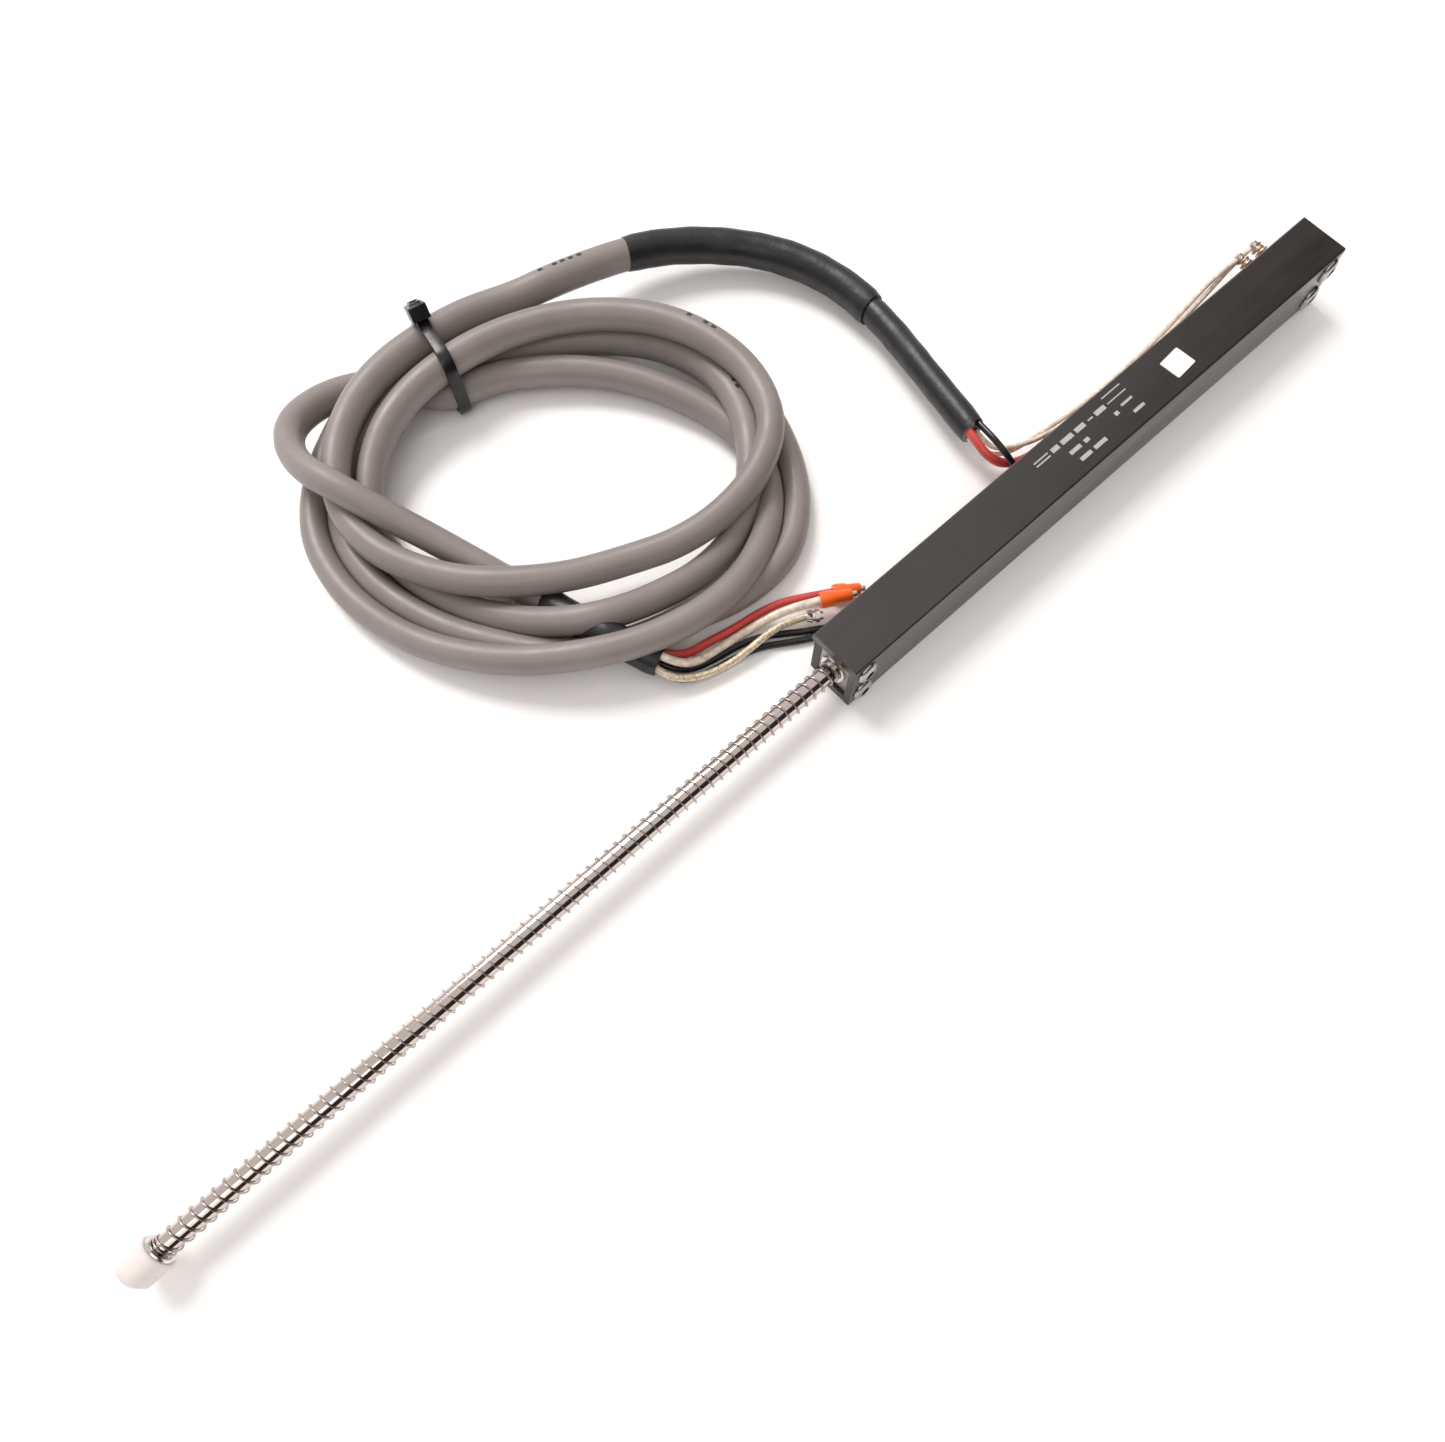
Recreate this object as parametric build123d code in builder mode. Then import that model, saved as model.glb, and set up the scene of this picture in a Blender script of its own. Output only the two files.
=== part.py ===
"""Spring-return linear position sensor with its tied cable, millimetres.

X runs along the shaft and out of the housing, Z is up.  The origin is the middle
of the housing's bottom face, so the housing and the cable rest on z = 0.
"""

import math
import os

from build123d import *

os.makedirs("parts", exist_ok=True)

# ---------------------------------------------------------------- driving sizes
HOUSING_LENGTH = 160.0
HOUSING_SIDE = 12.7
WALL = 1.8
EDGE_ROUND = 0.5
COVER_THICKNESS = 2.2
COVER_SETBACK = 0.8
COVER_DROP = 0.1
BLOCK_SETBACK = 1.0
FRONT_BLOCK_LENGTH = 12.0
REAR_BLOCK_LENGTH = 19.0
CUSHION_THICKNESS = 2.0
CUSHION_GAP = 0.05

SHAFT_DIAMETER = 4.0
SHAFT_EXPOSED = 169.0
SPIGOT_DIAMETER = 2.6
RUNNING_GAP = 0.02
STROKE = 100.0

BUSHING_DIAMETER = 5.5
BUSHING_FLANGE = 6.6
FLANGE_THICKNESS = 0.8
SEAL_LENGTH = 2.0

CARRIAGE_LENGTH = 20.0
CLIP_THICKNESS = 0.7

TIP_DIAMETER = 7.6
TIP_LENGTH = 6.6
TIP_CHAMFER = 1.2
WASHER_DIAMETER = 6.4
WASHER_THICKNESS = 0.7

SPRING_DIAMETER = 5.1
SPRING_WIRE = 0.42
SPRING_PITCH = 2.38
DEAD_COIL_PITCH = 0.5

SCREW_INSET = 3.6
SCREW_SPACING = 6.6
SCREW_SHANK = 2.5
SCREW_HEAD = 5.0
SCREW_HEAD_HEIGHT = 1.1
SCREW_REACH = 2.1
HEX_ACROSS_FLATS = 1.5
HEX_DEPTH = 0.8

BOARD_THICKNESS = 0.8
BOARD_HEIGHT = 7.4
TRACK_THICKNESS = 0.1
TRACK_WIDTH = 1.6
TRACK_SPACING = 3.9

PIN_DIAMETER = 1.0
PIN_STATIONS = (-65.0, -70.5)
UPPER_PIN_Z = 8.5
LOWER_PIN_Z = 3.8
UPPER_PIN_REACH = 5.0
LOWER_PIN_REACH = 3.0
COLLAR_DIAMETER = 2.4
COLLAR_STANDOUT = 0.5
BEAD_DIAMETER = 2.0
BEAD_LENGTH = 1.6

LABEL_SIZE = (6.2, 5.4)
LABEL_THICKNESS = 0.12
LABEL_CENTRE = (-26.5, 0.6)
LABEL_TURN = 4.0

CABLE_DIAMETER = 6.2
SLEEVE_FRONT_DIAMETER = 6.0
SLEEVE_REAR_DIAMETER = 7.0
COIL_CENTRE = (93.0, -74.0)
COIL_HEIGHT = 18.6
TIE_THICKNESS = 1.1
TIE_WIDTH = 2.8
TIE_STATION = 91.0
TIE_CORE = (19.0, 12.6)
TIE_CORE_Y = -117.2
TIE_HEAD = (4.2, 5.0, 3.7)
TIE_SLOT = 4.4

# ---------------------------------------------------------------- derived places
HALF_LENGTH = HOUSING_LENGTH / 2
HALF_SIDE = HOUSING_SIDE / 2
AXIS_Z = HALF_SIDE
COVER_INNER_Y = -HALF_SIDE + COVER_THICKNESS
WALL_INNER_Y = HALF_SIDE - WALL
CEILING_Z = HOUSING_SIDE - WALL
CAVITY_HEIGHT = CEILING_Z - WALL
CAVITY_WIDTH = WALL_INNER_Y - COVER_INNER_Y
CAVITY_Y = (WALL_INNER_Y + COVER_INNER_Y) / 2
COVER_HEIGHT = CEILING_Z - COVER_DROP
BLOCK_FACE_X = HALF_LENGTH - BLOCK_SETBACK
FRONT_BLOCK_X = BLOCK_FACE_X - FRONT_BLOCK_LENGTH
REAR_BLOCK_X = -BLOCK_FACE_X + REAR_BLOCK_LENGTH
CUSHION_X = FRONT_BLOCK_X - CUSHION_THICKNESS
SHOULDER_X = CUSHION_X - CUSHION_GAP
CARRIAGE_REAR_X = SHOULDER_X - CARRIAGE_LENGTH
FLANGE_X = BLOCK_FACE_X + FLANGE_THICKNESS
TIP_REAR_X = HALF_LENGTH + SHAFT_EXPOSED
WASHER_X = TIP_REAR_X - WASHER_THICKNESS
BOARD_INNER_Y = WALL_INNER_Y - BOARD_THICKNESS
TRACK_Y = BOARD_INNER_Y - TRACK_THICKNESS
BOARD_REAR_X = PIN_STATIONS[1] - 1.9
BOARD_FRONT_X = FRONT_BLOCK_X - 3.0
SCREW_HEIGHTS = (AXIS_Z - SCREW_SPACING / 2, AXIS_Z + SCREW_SPACING / 2)
SCREW_STATIONS = (HALF_LENGTH - SCREW_INSET, -HALF_LENGTH + SCREW_INSET)
COVER_SCREW_HEIGHTS = (3.0, 8.8)
TRACK_HEIGHTS = (AXIS_Z - TRACK_SPACING / 2, AXIS_Z + TRACK_SPACING / 2)

RIGHT_FACE = Plane(origin=(0, HALF_SIDE, 0), x_dir=(1, 0, 0), z_dir=(0, 1, 0))
LEFT_FACE = Plane(origin=(0, -HALF_SIDE, 0), x_dir=(1, 0, 0), z_dir=(0, -1, 0))


def save(piece, name):
    """Label a finished piece and write it as its own STEP file."""
    piece.part.label = name
    export_step(piece.part, f"parts/{name}.step")


# ---------------------------------------------------------------- housing
with BuildPart() as housing:
    with BuildSketch(Plane.YZ.offset(-HALF_LENGTH)):
        with Locations((0, AXIS_Z)):
            Rectangle(HOUSING_SIDE, HOUSING_SIDE)
        with Locations((CAVITY_Y, AXIS_Z)):
            Rectangle(CAVITY_WIDTH, CAVITY_HEIGHT, mode=Mode.SUBTRACT)
        with Locations((-HALF_SIDE + COVER_THICKNESS / 2, CEILING_Z / 2)):
            Rectangle(COVER_THICKNESS, CEILING_Z, mode=Mode.SUBTRACT)
    extrude(amount=HOUSING_LENGTH)
    long_edges = housing.edges().filter_by(Axis.X)
    fillet(long_edges.filter_by_position(Axis.Z, HOUSING_SIDE - 0.01, HOUSING_SIDE + 0.01), EDGE_ROUND)
    with Locations(*[Pos(x, HALF_SIDE, z) for x in SCREW_STATIONS for z in SCREW_HEIGHTS]):
        Cylinder(SCREW_SHANK / 2, 4 * WALL, rotation=(90, 0, 0), mode=Mode.SUBTRACT)
save(housing, "housing")

with BuildPart() as side_cover:
    with BuildSketch(Plane.YZ.offset(-HALF_LENGTH + COVER_SETBACK)):
        with Locations((-HALF_SIDE + COVER_THICKNESS / 2, COVER_HEIGHT / 2)):
            Rectangle(COVER_THICKNESS, COVER_HEIGHT)
    extrude(amount=HOUSING_LENGTH - 2 * COVER_SETBACK)
    chamfer(side_cover.faces().sort_by(Axis.Y)[0].edges(), 0.3)
    with Locations(*[Pos(x, -HALF_SIDE, z) for x in SCREW_STATIONS for z in COVER_SCREW_HEIGHTS]):
        Cylinder(1.0, 4 * COVER_THICKNESS, rotation=(90, 0, 0), mode=Mode.SUBTRACT)
        Cone(1.0, 1.9, 0.9, rotation=(90, 0, 0), align=(Align.CENTER, Align.CENTER, Align.MAX),
             mode=Mode.SUBTRACT)
    with Locations(*[Pos(x, -HALF_SIDE, z) for x in PIN_STATIONS for z in (LOWER_PIN_Z, UPPER_PIN_Z)]):
        Cylinder(COLLAR_DIAMETER / 2, 4 * COVER_THICKNESS, rotation=(90, 0, 0), mode=Mode.SUBTRACT)
save(side_cover, "side_cover")


# ---------------------------------------------------------------- end blocks
with BuildPart() as front_block:
    with BuildSketch(Plane.YZ.offset(FRONT_BLOCK_X)):
        with Locations((CAVITY_Y, AXIS_Z)):
            Rectangle(CAVITY_WIDTH, CAVITY_HEIGHT)
        with Locations((0, AXIS_Z)):
            Circle(BUSHING_DIAMETER / 2, mode=Mode.SUBTRACT)
    extrude(amount=FRONT_BLOCK_LENGTH)
    with Locations(*[Pos(SCREW_STATIONS[0], WALL_INNER_Y, z) for z in SCREW_HEIGHTS]):
        Cylinder(SCREW_SHANK / 2, 2 * SCREW_REACH, rotation=(90, 0, 0), mode=Mode.SUBTRACT)
    with Locations(*[Pos(SCREW_STATIONS[0], COVER_INNER_Y, z) for z in COVER_SCREW_HEIGHTS]):
        Cylinder(1.0, 3.0, rotation=(90, 0, 0), mode=Mode.SUBTRACT)
save(front_block, "front_block")

with BuildPart() as rear_block:
    with BuildSketch(Plane.YZ.offset(-BLOCK_FACE_X)):
        with Locations((CAVITY_Y, AXIS_Z)):
            Rectangle(CAVITY_WIDTH, CAVITY_HEIGHT)
    extrude(amount=REAR_BLOCK_LENGTH)
    with BuildSketch(Plane.YZ.offset(BOARD_REAR_X)):
        with Locations((WALL_INNER_Y - (BOARD_THICKNESS + TRACK_THICKNESS) / 2, AXIS_Z)):
            Rectangle(BOARD_THICKNESS + TRACK_THICKNESS, BOARD_HEIGHT)
    extrude(amount=REAR_BLOCK_LENGTH, mode=Mode.SUBTRACT)
    with Locations(*[Pos(SCREW_STATIONS[1], WALL_INNER_Y, z) for z in SCREW_HEIGHTS]):
        Cylinder(SCREW_SHANK / 2, 2 * SCREW_REACH, rotation=(90, 0, 0), mode=Mode.SUBTRACT)
    with Locations(*[Pos(SCREW_STATIONS[1], COVER_INNER_Y, z) for z in COVER_SCREW_HEIGHTS]):
        Cylinder(1.0, 3.0, rotation=(90, 0, 0), mode=Mode.SUBTRACT)
    with Locations(*[Pos(x, 0, z) for x in PIN_STATIONS for z in (LOWER_PIN_Z, UPPER_PIN_Z)]):
        Cylinder(PIN_DIAMETER / 2, 2 * HOUSING_SIDE, rotation=(90, 0, 0), mode=Mode.SUBTRACT)
save(rear_block, "rear_block")

with BuildPart() as front_bushing:
    with BuildSketch(Plane.YZ.offset(FRONT_BLOCK_X + SEAL_LENGTH)):
        with Locations((0, AXIS_Z)):
            Circle(BUSHING_DIAMETER / 2)
    extrude(amount=FRONT_BLOCK_LENGTH - SEAL_LENGTH)
    with BuildSketch(Plane.YZ.offset(BLOCK_FACE_X)):
        with Locations((0, AXIS_Z)):
            Circle(BUSHING_FLANGE / 2)
    extrude(amount=FLANGE_THICKNESS)
    with BuildSketch(Plane.YZ.offset(FRONT_BLOCK_X)):
        with Locations((0, AXIS_Z)):
            Circle(SHAFT_DIAMETER / 2 + RUNNING_GAP)
    extrude(amount=2 * FRONT_BLOCK_LENGTH, mode=Mode.SUBTRACT)
    chamfer(front_bushing.edges().filter_by(GeomType.CIRCLE).sort_by(Axis.X)[-2:], 0.2)
save(front_bushing, "front_bushing")

with BuildPart() as shaft_seal:
    with BuildSketch(Plane.YZ.offset(FRONT_BLOCK_X)):
        with Locations((0, AXIS_Z)):
            Circle(BUSHING_DIAMETER / 2)
            Circle(SHAFT_DIAMETER / 2 + 0.05, mode=Mode.SUBTRACT)
    extrude(amount=SEAL_LENGTH)
save(shaft_seal, "shaft_seal")


# ---------------------------------------------------------------- stop cushions
with BuildPart() as front_cushion:
    with BuildSketch(Plane.YZ.offset(CUSHION_X)):
        with Locations((0, AXIS_Z)):
            Circle(SHAFT_DIAMETER / 2 + 1.5)
            Circle(SHAFT_DIAMETER / 2 + 0.3, mode=Mode.SUBTRACT)
    extrude(amount=CUSHION_THICKNESS)
save(front_cushion, "front_cushion")

with BuildPart() as rear_cushion:
    with BuildSketch(Plane.YZ.offset(REAR_BLOCK_X)):
        with Locations((0, AXIS_Z)):
            RectangleRounded(6.0, 6.6, 1.0)
    extrude(amount=0.9)
save(rear_cushion, "rear_cushion")


# ---------------------------------------------------------------- resistive element
with BuildPart() as element_board:
    with BuildSketch(Plane.YZ.offset(BOARD_REAR_X)):
        with Locations((WALL_INNER_Y - BOARD_THICKNESS / 2, AXIS_Z)):
            Rectangle(BOARD_THICKNESS, BOARD_HEIGHT)
    extrude(amount=BOARD_FRONT_X - BOARD_REAR_X)
save(element_board, "element_board")


def make_track(height):
    """A thin printed track along the inner face of the element board."""
    with BuildPart() as track:
        with BuildSketch(Plane.YZ.offset(BOARD_REAR_X + 0.6)):
            with Locations((TRACK_Y + TRACK_THICKNESS / 2, height)):
                Rectangle(TRACK_THICKNESS, TRACK_WIDTH)
        extrude(amount=BOARD_FRONT_X - BOARD_REAR_X - 1.2)
    return track


collector_track = make_track(TRACK_HEIGHTS[0])
save(collector_track, "collector_track")

resistive_track = make_track(TRACK_HEIGHTS[1])
save(resistive_track, "resistive_track")


# ---------------------------------------------------------------- terminals
PIN_END_Y = TRACK_Y
UPPER_PIN_Y = -HALF_SIDE - UPPER_PIN_REACH
LOWER_PIN_Y = -HALF_SIDE - LOWER_PIN_REACH
PIN_ROWS = ((UPPER_PIN_Z, UPPER_PIN_Y), (LOWER_PIN_Z, LOWER_PIN_Y))

with BuildPart() as terminal_pins:
    for pin_z, pin_y in PIN_ROWS:
        for pin_x in PIN_STATIONS:
            with BuildSketch(Plane(origin=(pin_x, pin_y, pin_z), z_dir=(0, 1, 0))):
                Circle(PIN_DIAMETER / 2)
            extrude(amount=PIN_END_Y - pin_y)
    chamfer(terminal_pins.edges().filter_by(GeomType.CIRCLE).group_by(Axis.Y)[0], 0.15)
save(terminal_pins, "terminal_pins")

with BuildPart() as terminal_collars:
    for pin_z, _ in PIN_ROWS:
        for pin_x in PIN_STATIONS:
            collar_y = -HALF_SIDE - COLLAR_STANDOUT
            with BuildSketch(Plane(origin=(pin_x, collar_y, pin_z), z_dir=(0, 1, 0))):
                Circle(COLLAR_DIAMETER / 2)
                Circle(PIN_DIAMETER / 2, mode=Mode.SUBTRACT)
            extrude(amount=COVER_THICKNESS + COLLAR_STANDOUT)
save(terminal_collars, "terminal_collars")

with BuildPart() as solder_beads:
    for pin_z, pin_y in PIN_ROWS:
        for pin_x in PIN_STATIONS:
            with BuildSketch(Plane(origin=(pin_x, pin_y + 0.3, pin_z), z_dir=(0, 1, 0))):
                Circle(BEAD_DIAMETER / 2)
                Circle(PIN_DIAMETER / 2, mode=Mode.SUBTRACT)
            extrude(amount=BEAD_LENGTH)
    chamfer(solder_beads.edges().filter_by(GeomType.CIRCLE).sort_by(SortBy.RADIUS)[-8:], 0.25)
save(solder_beads, "solder_beads")


# ---------------------------------------------------------------- shaft and carriage
with BuildPart() as shaft:
    with BuildSketch(Plane.YZ.offset(SHOULDER_X)):
        with Locations((0, AXIS_Z)):
            Circle(SHAFT_DIAMETER / 2)
    extrude(amount=TIP_REAR_X - SHOULDER_X)
    with BuildSketch(Plane.YZ.offset(CARRIAGE_REAR_X - 1.6)):
        with Locations((0, AXIS_Z)):
            Circle(SPIGOT_DIAMETER / 2)
    extrude(amount=CARRIAGE_LENGTH + 1.6)
    with BuildSketch(Plane.YZ.offset(TIP_REAR_X)):
        with Locations((0, AXIS_Z)):
            Circle(SPIGOT_DIAMETER / 2)
    extrude(amount=4.0)
save(shaft, "shaft")

CARRIAGE_Y = (-3.7, 3.0)
with BuildPart() as wiper_carriage:
    with BuildSketch(Plane.YZ.offset(CARRIAGE_REAR_X)):
        with Locations(((CARRIAGE_Y[0] + CARRIAGE_Y[1]) / 2, AXIS_Z)):
            RectangleRounded(CARRIAGE_Y[1] - CARRIAGE_Y[0], CAVITY_HEIGHT - 0.6, 0.5)
        with Locations((0, AXIS_Z)):
            Circle(SPIGOT_DIAMETER / 2, mode=Mode.SUBTRACT)
    extrude(amount=CARRIAGE_LENGTH)
save(wiper_carriage, "wiper_carriage")

with BuildPart() as wiper_brush:
    with BuildSketch(Plane.XZ.offset(-CARRIAGE_Y[1])):
        with Locations((CARRIAGE_REAR_X + 10, AXIS_Z)):
            Rectangle(14, 6.4)
            Rectangle(9, TRACK_SPACING - TRACK_WIDTH + 0.6, mode=Mode.SUBTRACT)
    extrude(amount=-0.25)
    with BuildSketch(Plane.XZ.offset(-CARRIAGE_Y[1] - 0.25)):
        with Locations(*[(CARRIAGE_REAR_X + 14, z) for z in TRACK_HEIGHTS]):
            RectangleRounded(3.0, 1.0, 0.3)
    extrude(amount=-0.3)
save(wiper_brush, "wiper_brush")

with BuildPart() as carriage_clip:
    with BuildSketch(Plane.YZ.offset(CARRIAGE_REAR_X - CLIP_THICKNESS)):
        with Locations((0, AXIS_Z)):
            Circle(SPIGOT_DIAMETER)
            Circle(SPIGOT_DIAMETER / 2, mode=Mode.SUBTRACT)
            with Locations((0, -SPIGOT_DIAMETER)):
                Rectangle(1.4, 2 * SPIGOT_DIAMETER, mode=Mode.SUBTRACT)
    extrude(amount=CLIP_THICKNESS)
save(carriage_clip, "carriage_clip")

with BuildPart() as spring_washer:
    with BuildSketch(Plane.YZ.offset(WASHER_X)):
        with Locations((0, AXIS_Z)):
            Circle(WASHER_DIAMETER / 2)
            Circle(SHAFT_DIAMETER / 2, mode=Mode.SUBTRACT)
    extrude(amount=WASHER_THICKNESS)
    chamfer(spring_washer.edges().filter_by(GeomType.CIRCLE).sort_by(SortBy.RADIUS)[-2:], 0.15)
save(spring_washer, "spring_washer")

with BuildPart() as contact_tip:
    with BuildSketch(Plane.YZ.offset(TIP_REAR_X)):
        with Locations((0, AXIS_Z)):
            Circle(TIP_DIAMETER / 2)
    extrude(amount=TIP_LENGTH)
    chamfer(contact_tip.faces().sort_by(Axis.X)[-1].edges(), TIP_CHAMFER)
    chamfer(contact_tip.faces().sort_by(Axis.X)[0].edges(), 0.3)
    with BuildSketch(Plane.YZ.offset(TIP_REAR_X)):
        with Locations((0, AXIS_Z)):
            Circle(SPIGOT_DIAMETER / 2)
    extrude(amount=4.2, mode=Mode.SUBTRACT)
save(contact_tip, "contact_tip")


# ---------------------------------------------------------------- return spring
SPRING_RADIUS = (SPRING_DIAMETER - SPRING_WIRE) / 2
SPRING_START_X = FLANGE_X + SPRING_WIRE / 2
SPRING_SPAN = WASHER_X - FLANGE_X - SPRING_WIRE

with BuildPart() as return_spring:
    with BuildLine() as spring_path:
        Helix(
            pitch=SPRING_PITCH,
            height=SPRING_SPAN,
            radius=SPRING_RADIUS,
            center=(SPRING_START_X, 0, AXIS_Z),
            direction=(1, 0, 0),
        )
    with BuildSketch(Plane(origin=spring_path.line @ 0, z_dir=spring_path.line % 0)):
        Circle(SPRING_WIRE / 2)
    sweep(is_frenet=True)
save(return_spring, "return_spring")


# ---------------------------------------------------------------- screws and label
def make_side_screws(station):
    """Two button-head socket screws that hold one end block to the right wall."""
    with BuildPart() as screws:
        for height in SCREW_HEIGHTS:
            head_plane = Plane(origin=(station, HALF_SIDE, height), z_dir=(0, 1, 0))
            with BuildSketch(head_plane):
                Circle(SCREW_HEAD / 2)
            extrude(amount=SCREW_HEAD_HEIGHT)
            with BuildSketch(head_plane.offset(-WALL - SCREW_REACH)):
                Circle(SCREW_SHANK / 2)
            extrude(amount=WALL + SCREW_REACH)
            with BuildSketch(head_plane.offset(SCREW_HEAD_HEIGHT)):
                RegularPolygon(HEX_ACROSS_FLATS / 2, 6, major_radius=False)
            extrude(amount=-HEX_DEPTH, mode=Mode.SUBTRACT)
        rims = screws.edges().filter_by(GeomType.CIRCLE).group_by(Axis.Y)[-1]
        chamfer(rims, 0.45)
    return screws


front_screws = make_side_screws(SCREW_STATIONS[0])
save(front_screws, "front_screws")

rear_screws = make_side_screws(SCREW_STATIONS[1])
save(rear_screws, "rear_screws")

with BuildPart() as cover_screws:
    for screw_x in SCREW_STATIONS:
        for screw_z in COVER_SCREW_HEIGHTS:
            head_plane = Plane(origin=(screw_x, -HALF_SIDE, screw_z), z_dir=(0, 1, 0))
            with BuildSketch(head_plane):
                Circle(1.9)
            with BuildSketch(head_plane.offset(0.9)):
                Circle(1.0)
            loft()
            with BuildSketch(head_plane.offset(0.9)):
                Circle(1.0)
            extrude(amount=COVER_THICKNESS - 0.9 + 1.4)
            with BuildSketch(head_plane):
                Rectangle(2.6, 0.5)
                Rectangle(0.5, 2.6)
            extrude(amount=0.5, mode=Mode.SUBTRACT)
save(cover_screws, "cover_screws")

with BuildPart() as label_sticker:
    with BuildSketch(Plane.XY.offset(HOUSING_SIDE)):
        with Locations(Location((LABEL_CENTRE[0], LABEL_CENTRE[1], 0), (0, 0, LABEL_TURN))):
            RectangleRounded(LABEL_SIZE[0], LABEL_SIZE[1], 0.35)
    extrude(amount=LABEL_THICKNESS)
save(label_sticker, "label_sticker")


# ---------------------------------------------------------------- cords
def corner_radii(route):
    """The largest arc that each corner of a route has room for."""
    points = [Vector(*point) for point in route]
    radii = []
    for before, corner, after in zip(points, points[1:], points[2:]):
        run_in = corner - before
        run_out = after - corner
        half_turn = math.radians(run_in.get_angle(run_out)) / 2
        radii.append(0.45 * min(run_in.length, run_out.length) / math.tan(half_turn))
    return radii


def make_tube(name, route, diameter, radii=None):
    """A round solid along straight runs that tangent arcs join."""
    radii = radii or corner_radii(route)
    with BuildPart() as tube:
        with BuildLine() as path:
            FilletPolyline(*route, radius=radii)
        with BuildSketch(Plane(origin=path.line @ 0, z_dir=path.line % 0)):
            Circle(diameter / 2)
        sweep()
    length = sum(edge.length for edge in path.edges())
    expected = math.pi * diameter**2 / 4 * length
    radii_text = ", ".join(f"{radius:.0f}" for radius in radii)
    print(f"{name}: length {length:.1f}, volume {tube.part.volume:.1f} of {expected:.1f},"
          f" radii {radii_text}, smallest in diameters {min(radii) / diameter:.1f}")
    save(tube, name)


# The lead from the sleeve's open end beside the housing to the tied coil.
LEAD_ROUTE = [
    (14.5, -21.0, 6.2),
    (9.5, -45.0, 5.2),
    (4.8, -72.0, 5.0),
    (16.0, -95.0, 5.2),
    (33.0, -109.5, 6.8),
    (56.0, -113.0, 8.9),
    (70.0, -115.5, 9.7),
]
LEAD_RADII = corner_radii(LEAD_ROUTE)


def along(start, end, share):
    """A point on the straight run between two route points."""
    return tuple(a + (b - a) * share for a, b in zip(start, end))


SLEEVE_JOINT = along(LEAD_ROUTE[1], LEAD_ROUTE[2], 0.48)
SLEEVE_END = along(LEAD_ROUTE[4], LEAD_ROUTE[5], 0.65)

with BuildPart() as sleeve_front:
    with BuildLine() as front_path:
        FilletPolyline(LEAD_ROUTE[0], LEAD_ROUTE[1], SLEEVE_JOINT, radius=LEAD_RADII[:1])
    with BuildSketch(Plane(origin=front_path.line @ 0, z_dir=front_path.line % 0)):
        Circle(SLEEVE_FRONT_DIAMETER / 2)
    sweep()
save(sleeve_front, "sleeve_front")

with BuildPart() as sleeve_rear:
    with BuildLine() as rear_path:
        FilletPolyline(SLEEVE_JOINT, *LEAD_ROUTE[2:5], SLEEVE_END, radius=LEAD_RADII[1:4])
    with BuildSketch(Plane(origin=rear_path.line @ 0, z_dir=rear_path.line % 0)):
        Circle(SLEEVE_REAR_DIAMETER / 2)
    sweep()
save(sleeve_rear, "sleeve_rear")

make_tube("cable_lead", [SLEEVE_END, *LEAD_ROUTE[5:]], CABLE_DIAMETER, LEAD_RADII[4:])


def around_coil(reaches):
    """Points round the coil's middle, one for each (direction, reach) pair."""
    points = []
    for direction, reach in reaches:
        angle = math.radians(direction)
        x = COIL_CENTRE[0] + reach * math.cos(angle)
        y = COIL_CENTRE[1] + reach * math.sin(angle)
        points.append((x, y))
    return points


COIL_OUTSIDE = around_coil([
    (0, 52), (30, 48), (60, 47.5), (90, 49), (120, 50.5), (150, 53), (180, 53), (212, 47.5),
    (240, 46), (262, 51), (288, 58), (303, 66), (315, 63), (334, 58),
])
COIL_INSIDE = around_coil([
    (0, 23), (30, 20), (60, 21), (90, 24), (118, 34), (140, 41), (162, 39), (185, 33), (212, 28),
    (240, 28), (270, 33), (300, 38), (325, 37), (342, 29),
])

END_SLEEVE_ROUTE = [(109.2, -38.6, 6.6), (106.8, -33.2, 4.9), (104.2, -27.2, 3.65)]
END_NOTCH_TURN = 114.0
TIE_CORE_Z = TIE_THICKNESS + 0.1 + TIE_CORE[1] / 2

with BuildPart() as cable_coil:
    with BuildSketch(Plane.XY):
        with BuildLine():
            Spline(*COIL_OUTSIDE, periodic=True)
        make_face()
        with BuildLine():
            Spline(*COIL_INSIDE, periodic=True)
        make_face(mode=Mode.SUBTRACT)
    extrude(amount=COIL_HEIGHT)
    with BuildSketch(Plane.YZ.offset(TIE_STATION - TIE_SLOT / 2)):
        with Locations((TIE_CORE_Y, COIL_HEIGHT / 2)):
            Rectangle(2 * TIE_CORE[0], 2 * COIL_HEIGHT)
        with Locations((TIE_CORE_Y, TIE_CORE_Z)):
            RectangleRounded(TIE_CORE[0], TIE_CORE[1], 4.0, mode=Mode.SUBTRACT)
    extrude(amount=TIE_SLOT, mode=Mode.SUBTRACT)
    with Locations(Location((END_SLEEVE_ROUTE[0][0], END_SLEEVE_ROUTE[0][1], 0), (0, 0, END_NOTCH_TURN))):
        Box(20, 9, 11, align=(Align.MIN, Align.CENTER, Align.MIN), mode=Mode.SUBTRACT)
save(cable_coil, "cable_coil")

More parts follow.
